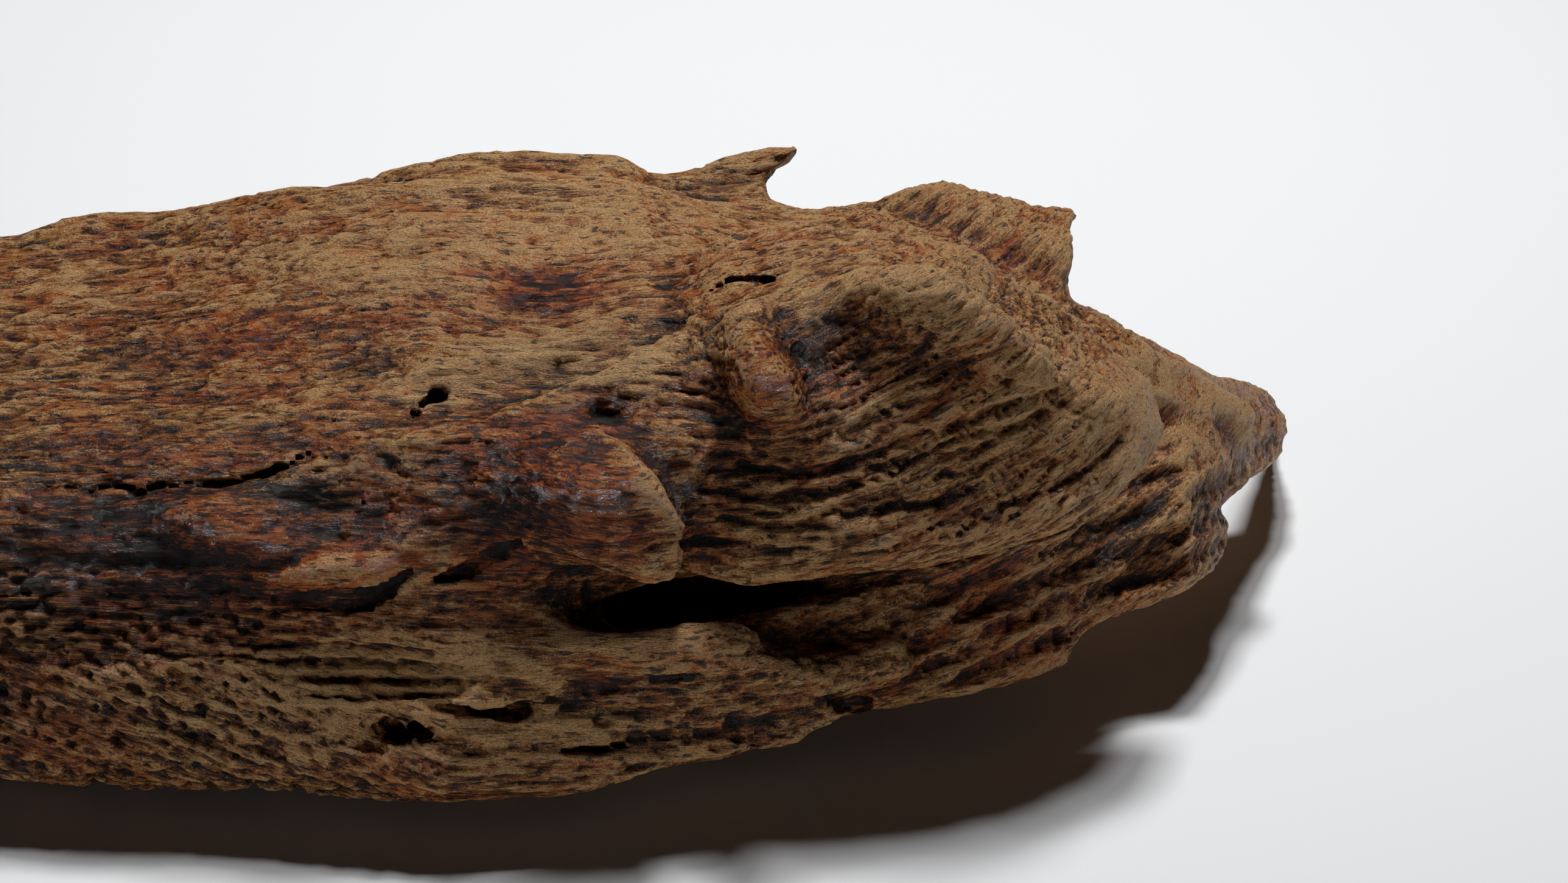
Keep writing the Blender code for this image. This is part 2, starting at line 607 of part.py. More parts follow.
def wood_material():
    material = bpy.data.materials.new("Resinous agarwood")
    material.use_nodes = True
    shader = material.node_tree.nodes["Principled BSDF"]
    shader.inputs["Base Color"].default_value = (*WOOD, 1)
    shader.inputs["Roughness"].default_value = WOOD_ROUGHNESS
    shader.inputs["Metallic"].default_value = 0
    material.diffuse_color = (*WOOD, 1)
    return material


def main():
    for old in list(bpy.data.objects):
        bpy.data.objects.remove(old)
    points, faces = surface(wood, LOW, HIGH, CELL)
    chunk = solid("agarwood", upright(points.astype(np.float32)), faces, MOST_TRIANGLES)
    stand_on_rest(chunk)
    chunk.data.materials.append(wood_material())


main()
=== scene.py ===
"""The looks of a hand-sized piece of agarwood, laid out as an add-on and run as a script.

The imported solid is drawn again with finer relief: wrinkles, pores, cracks and broken fibres that
follow the grain. The same leaning frame is used as for the solid, in millimetres: s runs along the
grain, t up the front face and d out of it. Every form is a signed distance, less than zero inside
the wood, and the last number of each call of noise is its seed.
"""

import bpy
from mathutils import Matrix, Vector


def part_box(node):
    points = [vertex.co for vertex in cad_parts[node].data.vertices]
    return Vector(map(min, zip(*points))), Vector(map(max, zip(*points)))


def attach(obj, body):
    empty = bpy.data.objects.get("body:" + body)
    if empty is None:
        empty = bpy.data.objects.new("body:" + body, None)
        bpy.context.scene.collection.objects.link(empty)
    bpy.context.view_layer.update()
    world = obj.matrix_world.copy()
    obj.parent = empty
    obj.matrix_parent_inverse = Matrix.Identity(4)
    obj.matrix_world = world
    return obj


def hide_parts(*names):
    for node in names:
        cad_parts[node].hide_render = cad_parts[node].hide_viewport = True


bl_info = {
    "name": "Piece of agarwood",
    "version": (1, 0, 0),
    "blender": (4, 5, 0),
    "location": "3D View > Sidebar > Agarwood",
    "description": "Grows the weathered chunk of agarwood and lays out its stage",
    "category": "Object",
}

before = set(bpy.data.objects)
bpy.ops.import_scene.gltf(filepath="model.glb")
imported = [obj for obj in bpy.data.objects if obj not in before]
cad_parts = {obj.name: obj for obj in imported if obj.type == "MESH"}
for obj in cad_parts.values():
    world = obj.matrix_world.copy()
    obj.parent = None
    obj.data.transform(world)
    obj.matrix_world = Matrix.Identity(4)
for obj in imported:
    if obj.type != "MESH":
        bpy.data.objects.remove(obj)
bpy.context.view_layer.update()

import math
from concurrent.futures import ThreadPoolExecutor
from functools import partial

import bpy
import numpy as np
import openvdb
from mathutils import Vector

NODE = "agarwood"

# How the chunk leans, the box that is sampled, and where its wood ends, in millimetres
LEAN = math.radians(30)
LOW, HIGH = (-114, -38, -62), (45, 33, 12)
REST_HEIGHT = -31.2
END_OF_WOOD = 43.0
LEFT_BREAK = -99.0
# Cells between the samples of each round, and how near the surface the next round is made
STEPS = (8, 2, 1)
REACH = (7.0, 1.1)
# Wood this near the resting spot stays flat
REST_MARGIN = 0.3

# The trunk of the chunk: sections along s
STATION = (-108, -103, -95, -84, -64, -54, -44, -24, -14, -4, 10, 22, 30, 36, 44)
FRONT_DEPTH = (-14, -10, -6, -3.4, -1.2, -0.5, 0.1, 0.7, -2, -5, -10, -16, -21, -25, -33)
CREST_HEIGHT = (-14, -11, -8, -6.5, -4.4, -3.7, -3, 1.2, 5, 8, 9, 8, 6, 3, 0)
TOP_SLOPE = (25, 20, 14, 10, 9, 8.8, 12.2, 9.6, 6.8, -2.5, -3, -7, -9, -10, -10)
UNDERSIDE = (
    -17, -20, -24.5, -29, -32, -32.1, -32.2, -32, -31.6, -30, -26.5, -21, -17.5, -17.5, -20,
)
REAR = (13, 20, 28, 36.5, 41, 41.5, 42, 42.5, 42.5, 42.5, 42, 39, 36.5, 36.5, 38)
LOWER_EDGE = (2, -9, -17, -24.5, -29.6, -30.3, -30.8, -31.2, -28.5, -25, -18.5, -12, -7, -3, 0)
# How its faces are rounded: how strongly, and round which height or depth
LEFT_ROUND, LEFT_MIDDLE = 0.010, -14
UNDER_ROUND_FRONT, UNDER_ROUND_REAR, UNDER_MIDDLE = 0.006, 0.012, 14
REAR_ROUND, REAR_MIDDLE = 0.012, -8
CREST_LIFT, SHOULDER_LIFT = 1.2, 2.5
# Waves along the rear: height, turn in a millimetre, shift
REAR_WAVES = ((2, 0.085, 0.6), (1, 0.21, 0))
# Spurs of the broken left end: length, thickness to the rear and up, place in the noise, seed
SPURS = ((15, 12, 7, 3.3, 11), (6, 5, 3, 1.7, 12))
# Width of the rounding where two of its faces meet
CREST_EDGE, FRONT_EDGE, FOOT_EDGE, REAR_EDGE, SHOULDER_EDGE, END_EDGE = 4, 6, 4, 7, 6, 2
# Furrows along the rear and the underside, upright: points on each, then its radii
FURROWS = (
    (
        ((-100, 30, 0), (-72, 42, 0), (-46, 46.5, -3), (-24, 46.5, -2), (-8, 46, -4)),
        (1, 3.6, 5, 4, 1),
    ),
    (((-62, 45, -13), (-40, 48, -15.5), (-12, 48.5, -14), (14, 46.5, -16)), (1.5, 5, 6, 1.5)),
    (
        ((-90, 8, -31.5), (-70, 20, -35.2), (-40, 25, -35.6), (-10, 27, -34.6), (8, 28, -31)),
        (2, 5, 5, 4.6, 2),
    ),
    (((-30, -2, -34.8), (-15, 3, -34.8), (2, 8, -31.2), (20, 11, -24)), (1, 3.4, 3.6, 2)),
)
# A slab has split off low on the rear: middle, half size, and how sharp its edges are
SPLIT_OFF = ((-62, 46, -25), (27, 7.5, 8.5), 0.8)
REAR_KNOT = ((-22, 42.5, -11), (9, 4, 5.5))
# The flange, a thin blade that runs out to the right under the head
FLANGE_RIM = (
    (-33.8, -16.9), (-4.5, -3.8), (21.5, 4.4), (31.9, 8.1), (34.6, 7.4), (37.7, 6.2), (41.9, 5.7),
    (44.8, 4.8), (46, 2.5), (46.5, 1), (45.2, -0.3), (44.3, -1.7), (42.4, -3.1), (40.1, -4.1),
    (38.9, -4.7), (37.8, -5.9), (38.7, -7.4), (38, -9.4), (37, -10.9), (34.8, -12.5),
    (32.2, -13.7), (29.5, -14.4), (26.2, -15.7), (24.7, -16.9), (23.5, -18.5), (21.4, -19.4),
    (18.2, -20.7), (14, -21.4), (9.9, -22.3), (5.8, -23), (-0.4, -24.9), (-9.5, -26.4),
    (-24.6, -26.5),
)
FLANGE_HALF = 2.1
FLANGE_SWELLS_AT, FLANGE_SWELLS_BY = 36, 0.32
FLANGE_LEAN = 0.9
# Height of its rim along s, and how deep its front lies along s
FLANGE_FOOT = ((-24, -4, 24, 41), (-27, -25, -15, 0))
FLANGE_RUN = (
    (-24, -10, 0, 8, 14, 21, 26, 30, 34.7, 37, 40, 43, 46),
    (-2.6, -5.2, -8.6, -11.2, -11.8, -14, -17.3, -19.6, -20.4, -24.5, -31, -39, -46),
)
RIDGE_PITCH = 2.7
RIDGE_HEIGHT = 0.45
# The head, the swollen knot over the flange: the ridge round its face
HEAD_RIDGE = (
    (-9.8, -7.8), (-8.8, -11.3), (-5.4, -12.1), (0.6, -11.4), (10.7, -10.4), (18.2, -8.8),
    (23.3, -7), (27.4, -4.6), (30.1, -2), (30.9, 1), (28.8, 3.8), (21.8, 7.6), (15.7, 10.3),
    (12.2, 14.3), (7.2, 15.9), (0.6, 15), (-4.4, 13.1), (-7.5, 9.1), (-10.4, 4.3), (-11.1, -1.8),
)
HEAD_FRONT, HEAD_BACK, HEAD_TOP = 1.6, -15, 12.6
HEAD_MIDDLE = (2, -3)
# How strongly its face is rounded to the left, to the right, below and above
HEAD_ROUND = (0.020, 0.0125, 0.020, 0.006)
# Rounded swellings: name, points on it, radii there, width of the blend
SWELLINGS = (
    (
        "rear lip",
        ((-40.6, 22, -34), (-31.8, 22.6, -33), (-23.7, 23.3, -33), (-15.3, 23.9, -32)),
        (1.2, 2.2, 2.4, 1.8),
        4,
    ),
    (
        "crest lip",
        (
            (-43.7, -3.8, -2.6), (-34.6, -1.4, -2), (-25.5, 0.4, -2), (-19.5, 2.9, -2.8),
            (-12, 6.2, -4.5), (-6.5, 9.1, -6),
        ),
        (1.2, 2, 2.4, 2.7, 2.7, 2.8),
        2,
    ),
    (
        "knuckle",
        ((-28.2, -3.8, -5), (-21.1, -3.9, -3), (-15.6, -4.8, 0.9), (-11.3, -7.9, 1.4)),
        (6.2, 6.8, 5.5, 3.7),
        2.0,
    ),
    (
        "knuckle rim",
        ((-15.6, -0.1, 1.2), (-12, -3.3, 4.2), (-9.2, -7.1, 3.6)),
        (1.3, 1.7, 1.8),
        1.2,
    ),
    (
        "nose",
        ((-3.3, 9.5, -0.5), (-2.4, 6.7, 1.4), (-1.3, 3.8, 2.2), (-0.6, 1.7, 1.6)),
        (2.4, 2.7, 3, 2),
        1.6,
    ),
    ("nose ridge", ((-2.4, 7.9, 3.4), (-1, 4.2, 4.2)), (0.9, 1.1), 1),
    (
        "fold along the flange",
        ((-10.5, -18.1, -2.4), (-4.4, -18.9, -3.8), (2.1, -19.3, -5.8), (8.3, -18.1, -8)),
        (1.4, 2.4, 2.2, 1.4),
        3,
    ),
    ("back of the flange", ((32, 1, -35), (39, 0.8, -42), (43, 0.5, -45)), (4, 3.6, 2.6), 3),
    (
        "between the knuckle and the nose",
        ((-11.4, 3.3, -3), (-9.5, -0.3, -1.4), (-7.9, -4.3, -0.8)),
        (2.6, 3.0, 2.4),
        3,
    ),
    (
        "brow",
        ((7.1, 12.3, -1.2), (11.6, 11.8, -0.2), (15.1, 9.8, -0.8), (19.7, 6.8, -2.5)),
        (1.8, 2.8, 2.4, 1.8),
        3.5,
    ),
)
# Long lumps: name, middle, radii, turn about d in degrees, width of the blend
LUMPS = (
    ("lens", (-37.5, -10.3, -0.9), (7, 2.3, 2.9), 3, 1),
    ("fold over the lens", (-45.3, -6.9, -1.5), (6, 3.2, 3), -10, 2),
    ("fold beside the lens", (-29.5, -7.8, -1.6), (6, 2.4, 2.8), 14, 1.5),
    ("bulge left of the cleft", (-15.3, -16.8, -2.8), (13, 2.8, 3.6), 4, 3),
    ("knot on the upper side", (-20.4, 12.9, -20), (5.4, 3.2, 5), 0, 2),
)
# The fin and the horn, thin blades that rise along the rear edge
FIN_LEAN, HORN_LEAN = 0.8, 0.4
FIN_HALF, HORN_HALF = 2.0, 2.0
FIN_OUTLINE = (
    (6.1, 20.7), (8.3, 22), (10.4, 23.1), (13.7, 23.8), (15.3, 23.5), (18.1, 22.5), (19.7, 22.1),
    (22.4, 21.6), (25.2, 21.4), (26.4, 20.8), (26.1, 19.7), (25.1, 18.5), (24.7, 16.6), (24.5, 15),
    (23.8, 12.9), (23.5, 9), (11.5, 4.6), (5, 13.3),
)
HORN_OUTLINE = (
    (-13.4, 23.4), (-9.6, 24.2), (-5.8, 25.6), (-2.6, 26.2), (0.2, 26.7), (1, 26.4), (0.6, 25.5),
    (-0.7, 24.1), (-1.8, 23), (-2.2, 21.6), (-1.6, 20.6), (0.6, 16.5), (-10.2, 14.3),
)
# The broken splinter along the lower edge, and the rim of the scallop over it
SPLINTER_OUTLINE = (
    (-36.5, -25.3), (-32.5, -25.1), (-29.5, -24.4), (-23, -23.1), (-19.5, -21.6), (-14.5, -20.6),
    (-5.4, -19.9), (-4.6, -21.5), (-1.9, -21.8), (2.1, -21.6), (5.8, -22.4), (2.6, -23.8),
    (-0.4, -24.9), (-9.5, -26.7), (-16.5, -28.9), (-29.5, -28.8),
)
SCALLOP_RIM = (
    (
        (-34.4, -16, 0.2), (-30.3, -17, 0.8), (-27.6, -18.8, 1.4), (-26.5, -20.6, 1.2),
        (-24.1, -21, 0.4),
    ),
    (0.9, 1.1, 1.3, 1.2, 0.9),
)
# Channels worn or cracked into the wood: name, points, radii, width of the blend
CHANNELS = (
    (
        "cleft under the head",
        (
            (-20.3, -12.5, 1), (-16.9, -13, -0.5), (-12, -13.9, -2.5), (-7.5, -13.5, -4),
            (-1.9, -12.3, -5), (4.7, -11.4, -6), (11.8, -10.5, -7.5), (20, -8.4, -9),
            (26.3, -6, -11), (30.6, -2.8, -13),
        ),
        (1, 2, 3, 2.9, 2.4, 1.8, 1.6, 1.6, 1.5, 1.1),
        0.8,
    ),
    (
        "back of the cleft",
        (
            (-14.1, -13.9, -5), (-9.6, -13.3, -8), (-2.5, -12, -9), (4.7, -11.1, -8.4),
            (11.9, -10, -9.6), (20.1, -7.9, -11.2), (25.9, -5.7, -13),
        ),
        (1.2, 2.5, 2.4, 1.6, 1.4, 1.4, 1),
        0.8,
    ),
    (
        "groove behind the crest",
        ((-37.4, 1.7, 0.2), (-29.9, 4, -0.6), (-22, 6, -2.4), (-14.6, 8.3, -4.2), (-10, 9.9, -5.6)),
        (1, 2.2, 2.4, 2, 1),
        2.5,
    ),
    (
        "hole in the groove",
        ((-28.5, 4.1, -3), (-30.3, 3.4, -7), (-31.7, 2.1, -6), (-30.9, 1, -3)),
        (0.5, 0.8, 0.7, 0.4),
        0.4,
    ),
    ("socket", ((2.8, 11.2, 3), (5.1, 6.7, 3.6), (8, 1.7, 4.4)), (1.6, 2.8, 1.8), 4),
    (
        "dent under the nose",
        ((-5.9, 1.2, 3), (0.6, -0.2, 3.4), (8, -0.5, 3.6)),
        (1.2, 1.7, 1.2),
        1.5,
    ),
    (
        "valley by the knuckle",
        ((-12.6, 1.7, 2.2), (-9.6, -2, 3.2), (-7.3, -6, 2.6), (-6.4, -10.2, 1.2)),
        (0.4, 0.9, 1.4, 1.3),
        1.8,
    ),
    (
        "slot under the lens",
        (
            (-45.3, -13.9, 1.2), (-40.7, -13.1, 0.8), (-36.6, -13.2, 0.8), (-33.6, -12.3, 0.6),
            (-30.7, -10.3, 1),
        ),
        (0.3, 0.8, 1, 0.8, 0.3),
        0.4,
    ),
    (
        "slot over the lens",
        ((-49.2, -11.5, 1.6), (-44.8, -10.7, 1.4), (-40.1, -9.4, 1.8), (-37.2, -8.6, 2.4)),
        (0.3, 0.6, 0.6, 0.3),
        0.4,
    ),
    (
        "slot beside the lens",
        ((-30.4, -11.5, 0.6), (-27.4, -10.7, 0.8), (-24.3, -9.4, 1.2), (-21.8, -8, 2.2)),
        (0.3, 0.6, 0.6, 0.3),
        0.4,
    ),
    (
        "cave over the splinter",
        (
            (-34.1, -23.6, 0.6), (-31.1, -23.3, -1), (-27.5, -22.8, -1.6), (-24, -22.3, -1),
            (-20.9, -21.7, 0.2),
        ),
        (0.8, 1.5, 1.7, 1.3, 0.4),
        0.6,
    ),
    (
        "gap behind the splinter",
        ((-11.5, -19.5, -2.6), (-5.5, -19.3, -5.2), (0.6, -20.5, -8.2), (6.3, -21.9, -10.5)),
        (0.5, 1, 1.2, 0.7),
        0.4,
    ),
    (
        "crack over the splinter",
        ((-21.9, -21.5, 0.4), (-16.9, -20.5, 0.6), (-11.9, -19.6, 0.2), (-6.4, -18.8, -1)),
        (0.4, 0.5, 0.45, 0.3),
        0.4,
    ),
)
# The scallop, a shallow oval hollow: middle, radii, turn about d in degrees, width of the blend
SCALLOP = ((-34.2, -18.6, 2.2), (8.6, 2.8, 3.1), -6, 0.8)
# Ribs on the rear: length and width of the broad and of the narrow ones, and how high they stand
RIB_SIZES = ((46, 11, 11), (24, 4.2, 4.2))
RIB_HEIGHTS = (6, 2.4)
RIB_LEVEL = 1.6
# Slow swells all over: size along, up and into the wood, and height
SWELL_SIZES = ((24, 9, 11), (10.5, 4, 5))
SWELL_HEIGHTS = (1.2, 0.7)

# Cracks seen from the front: points, half width in the middle, depth
CRACKS = (
    (
        (
            (-61.4, -3.6), (-56.4, -3.6), (-49.4, -3.4), (-44.9, -3), (-41.9, -1.8), (-39.4, -1),
            (-34.9, -1.1),
        ),
        0.24,
        1.2,
    ),
    (((-6.9, 12.8), (-3.6, 13.8), (-2.4, 13.5), (0.1, 14.6)), 0.24, 1.2),
    (((-28.1, 4), (-29.4, 3.5), (-30.2, 3), (-31, 2)), 0.26, 1.5),
    (((-19.4, -25.2), (-15.4, -25.1), (-10.4, -24)), 0.24, 0.8),
)
# A crack wanders by long and by short bends: how far, their size, seed
CRACK_BENDS = ((0.7, (2.2, 4, 4), 51), (0.3, (0.8, 2, 2), 52))
# Short deep wrinkles on the right cheek of the head and on its belly: points, half width, depth
WRINKLES = (
    (((13.6, 1.2), (16.6, 2.6), (20.1, 3.5), (22.6, 4.2)), 0.5, 0.9),
    (((12.6, -0.5), (15.6, 0.7), (18.6, 1.2), (21.6, 2.6)), 0.45, 0.9),
    (((6.6, -2.2), (10.6, -1.4), (13.6, -1), (16.6, -0.1)), 0.45, 0.8),
    (((17.6, 5), (20.6, 4.2), (23.6, 3)), 0.4, 0.7),
    (((-3.9, -1.8), (-0.4, -2.4), (3.6, -2), (7.6, -0.8)), 0.5, 1.0),
    (((-6.9, -3.8), (-1.9, -4.3), (2.6, -4), (5.6, -3.2)), 0.5, 0.9),
    (((4.6, -6), (8.1, -5.2), (12.6, -4.8), (16.1, -3.8)), 0.4, 0.8),
    (((-5.4, -6.2), (-1.4, -6.8), (3.1, -6.8)), 0.4, 0.8),
    (((17.6, -5.2), (21.6, -4), (25.6, -2), (28.1, 0.2)), 0.4, 0.8),
    (((-8.4, -8.2), (-4.4, -8.2), (0.1, -9)), 0.4, 0.8),
)
# Layers of broken fibre along the splinter: middle and reach, steps in a unit, height of the steps
# and of the raggedness between them
LAYERS_AT = ((-17, -23.5), (18, 3.2))
LAYER_STEPS = 3
LAYER_HEIGHT, LAYER_RAGGED = 1.2, 0.25
# Furrows between the fibres: size along, across and into the grain, share of the depth, seed
SKIN_FURROWS = (((8, 1.15, 1.15), 1, 42), ((4.5, 0.85, 0.85), 0.6, 43))
FURROW_SIDES = 5
# The belly of the head: middle and reach. The front face ends at this depth.
BELLY_AT = ((7, -1), (19, 10))
FRONT_FACE = -16
# Depth of the furrows, what the belly and the left add to it, and the share that rubbing takes off
SKIN_DEPTH, BELLY_DEPTH, LEFT_DEPTH, RUBBED_OFF = 0.28, 0.20, 0.14, 0.8
# Height of the cords of fibre, and of the crumbs everywhere and on the left
CORD_HEIGHT, CRUMB_HEIGHT, LEFT_CRUMB_HEIGHT = 0.24, 0.08, 0.16
# Pits in the crumbled corner: spacing along and across the grain, size and its spread, depth
PIT_SPACING = (1.9, 1.3)
PIT_SIZE, PIT_SPREAD, PIT_DEPTH = 0.35, 0.25, 0.7
# The comb of bared fibres in the scallop: middle and reach, spacing and height of the teeth
COMB_AT = ((-34.5, -18.7), (8.4, 3.1))
TOOTH_SPACING, TOOTH_HEIGHT = 1.1, 0.42
# Where the look of the wood changes: middle, reach, and how dusty, resinous and red it is there
PATCHES = (
    ("plateau", (-45, 12), (40, 9), 0.9, -1.0, 0.25),
    ("rear of the plateau", (-15, 20), (22, 7), 0.9, -0.9, 0.1),
    ("knuckle", (-19, -4), (8, 5), -1.1, 1.7, 0.8),
    ("worn end of the knuckle", (-10.5, -3.5), (2, 4.5), 1.2, -0.8, 0.2),
    ("nose", (-2, 5), (3, 4.5), -0.9, 0.9, 0.5),
    ("brow", (11, 13), (9, 3), 0.7, -0.1, 0),
    ("socket", (5, 5), (5, 5), 0.2, -0.2, 0),
    ("belly", (5, -5), (16, 5), 0.4, -0.2, 0.1),
    ("cheek", (22, 3), (8, 6), 1.7, -1.7, 0.1),
    ("knot on the upper side", (-20.4, 12.9), (4.6, 1.9), -1.6, 2.0, 0.9),
    ("groove behind the crest", (-17, 7), (9, 2.2), 1.4, -1.3, -0.3),
    ("groove by the hole", (-27, 4.6), (6, 1.3), 1.1, -1.1, -0.3),
    ("dark band on the plateau", (-45, 9.6), (16, 2.4), -0.8, 0.9, 0.5),
    ("right wing", (36, 3), (7, 6), 1.1, -1.2, 0.5),
    ("lower wing", (18, -15), (14, 5), 0.7, -0.6, 0.5),
    ("under the cleft", (-14, -15.5), (10, 3), 0.8, -0.6, 0.1),
    ("crumbled corner", (-46, -20), (14, 7), 0.7, 0.1, -0.1),
    ("lowest edge", (-40, -28), (40, 2.5), -0.2, 0.6, 0),
    ("scallop", (-34, -19), (9, 3), 1.8, -1.6, 0),
    ("rim of the scallop", (-27.6, -18.6), (2.6, 2.6), 1.3, -1.2, 0),
    ("splinter", (-20, -24), (18, 3), 1.2, -0.7, 0.1),
    ("left face", (-52, -9), (14, 6), -0.9, 1.7, 0.9),
    ("lens", (-37, -10), (7, 2), 0.3, -0.9, 0.6),
    ("fold beside the knuckle", (-28, -6), (8, 3), 0, -0.2, 0.3),
    ("fin", (17, 19), (9, 6), 0.9, -1, 0.3),
)
# Where hands have rubbed the wood smooth: middle and reach
RUBBED = (
    ("right wing", (36, 4), (9, 6)),
    ("nose", (-2, 5), (2.6, 4)),
    ("knuckle", (-15, -3), (7, 4.5)),
    ("lens", (-37.5, -10.3), (6.5, 1.8)),
    ("bump on the left", (-46.5, -6.5), (3, 2)),
    ("under the cleft", (-15, -15.5), (8, 2)),
)

FAR = 1000.0
THREADS = 4
SINE, COSINE = math.sin(LEAN), math.cos(LEAN)
# Seeded slopes for the noise, and the order in which it picks them
random = np.random.default_rng(7)
SHUFFLE = random.permutation(256)
SLOPES = random.normal(size=(256, 3))
SLOPES = (SLOPES / np.linalg.norm(SLOPES, axis=1)[:, None]).astype(np.float32)


def upright(p):
    """Leaning points stood up: x along the grain, y to the rear, z up."""
    s, t, d = p.T
    return np.stack([s, t * SINE - d * COSINE, t * COSINE + d * SINE], axis=1)


def blend(a, b, width):
    """Two forms joined, with a rounded hollow of this width between them."""
    overlap = np.maximum(width - np.abs(a - b), 0) / width
    return np.minimum(a, b) - overlap * overlap * width / 4


def meet(a, b, width):
    """What lies inside both forms, with its edge rounded over this width."""
    return -blend(-a, -b, width)


def carve(a, hollow, width):
    """A form with a hollow taken out of it."""
    return -blend(-a, hollow, width)


def section(s, values):
    """A smooth curve through one value per station."""
    k, v = np.asarray(STATION, float), np.asarray(values, float)
    m = np.gradient(v, k)
    i = np.clip(np.searchsorted(k, s) - 1, 0, len(k) - 2)
    h = k[i + 1] - k[i]
    u = np.clip((s - k[i]) / h, 0, 1)
    ends = (1 + 2 * u) * (1 - u) ** 2 * v[i] + u * u * (3 - 2 * u) * v[i + 1]
    return (ends + h * (u * (1 - u) ** 2 * m[i] + u * u * (u - 1) * m[i + 1])).astype(np.float32)


def near(p, points, reach):
    """Which points lie within reach of the box round some others."""
    points = np.atleast_2d(points)
    return np.all((p > points.min(0) - reach) & (p < points.max(0) + reach), axis=1)


def through(rows, steps=3):
    """Rows joined by a smooth curve, with a few more rows between each pair."""
    if len(rows) < 3:
        return rows
    r = np.vstack([2 * rows[0] - rows[1], rows, 2 * rows[-1] - rows[-2]])
    out = []
    for a, b, c, d in zip(r, r[1:], r[2:], r[3:]):
        bow, twist = 2 * a - 5 * b + 4 * c - d, 3 * b - a - 3 * c + d
        for u in np.arange(steps) / steps:
            out.append(b + 0.5 * ((c - a) * u + bow * u * u + twist * u**3))
    return np.array(out + [rows[-1]])


def limb(p, points, radii, reach=8):
    """A round, tapering limb along a smooth path."""
    path = through(np.column_stack([points, radii]).astype(np.float32))
    out = np.full(len(p), FAR, np.float32)
    close = near(p, path[:, :3], max(radii) + reach)
    q = p[close]
    best = np.full(len(q), FAR, np.float32)
    for a, b in zip(path, path[1:]):
        run = (b - a)[:3]
        u = np.clip((q - a[:3]) @ run / (run @ run), 0, 1)
        gap = q - a[:3] - u[:, None] * run
        best = np.minimum(best, np.sqrt((gap * gap).sum(1)) - (a[3] + (b[3] - a[3]) * u))
    out[close] = best
    return out


def lump(p, middle, radii, turn=0, reach=8):
    """A long rounded lump, turned about d by some degrees."""
    out = np.full(len(p), FAR, np.float32)
    close = near(p, middle, max(radii) + reach)
    q, r = p[close] - np.asarray(middle, np.float32), np.asarray(radii, np.float32)
    c, w = math.cos(math.radians(turn)), math.sin(math.radians(turn))
    q = q @ np.array([[c, -w, 0], [w, c, 0], [0, 0, 1]], np.float32)
    size = np.sqrt(((q / r) ** 2).sum(1))
    out[close] = size * (size - 1) / (np.sqrt(((q / (r * r)) ** 2).sum(1)) + 1e-6)
    return out


def block(p, middle, half, edge):
    """A straight block with rounded edges."""
    gap = np.abs(p - np.asarray(middle, np.float32)) - np.asarray(half, np.float32) + edge
    return np.minimum(gap.max(1), 0) + np.sqrt((np.maximum(gap, 0) ** 2).sum(1)) - edge


def outline(s, t, corners):
    """Distance to a closed outline in the plane of the front face."""
    o = np.asarray(corners, np.float32)
    best, sign = np.full(len(s), FAR * FAR, np.float32), np.ones(len(s), np.float32)
    for a, b in zip(o, np.roll(o, 1, axis=0)):
        e, ws, wt = b - a, s - a[0], t - a[1]
        u = np.clip((ws * e[0] + wt * e[1]) / (e @ e), 0, 1)
        best = np.minimum(best, (ws - e[0] * u) ** 2 + (wt - e[1] * u) ** 2)
        above, below, left = t >= a[1], t < b[1], e[0] * wt > e[1] * ws
        sign[(above & below & left) | ~(above | below | left)] *= -1
    return sign * np.sqrt(best)


def blade(p, corners, depth, half, edge, reach=8):
    """A blade with this outline, whose middle follows depth(s, t)."""
    out = np.full(len(p), FAR, np.float32)
    close = near(p[:, :2], corners, reach)
    s, t, d = p[close].T
    middle = depth(s, t)
    side = outline(s, t, corners) + edge
    face = np.abs(d - middle) - (half(s) if callable(half) else half) + edge
    round_edge = np.sqrt(np.maximum(side, 0) ** 2 + np.maximum(face, 0) ** 2)
    out[close] = np.minimum(np.maximum(side, face), 0) + round_edge - edge
    return out


def noise(p, seed):
    """Smooth seeded noise with swells one unit across, from about -0.7 to 0.7."""
    q = p + np.float32(seed * 17.31)
    i = np.floor(q).astype(np.int64)
    f = (q - i).astype(np.float32)
    w = f * f * f * (f * (f * 6 - 15) + 10)
    total = np.zeros(len(p), np.float32)
    for corner in np.ndindex(2, 2, 2):
        at = np.zeros(len(p), np.int64)
        weight = np.ones(len(p), np.float32)
        for axis, far in enumerate(corner):
            at = SHUFFLE[(at + i[:, axis] + far) & 255]
            weight = weight * (w[:, axis] if far else 1 - w[:, axis])
        total += weight * (SLOPES[at] * (f - np.array(corner, np.float32))).sum(1)
    return total


def stretched(p, size, seed):
    """Noise with swells of this size along each axis, in millimetres."""
    return noise(p / np.array(size, np.float32), seed)


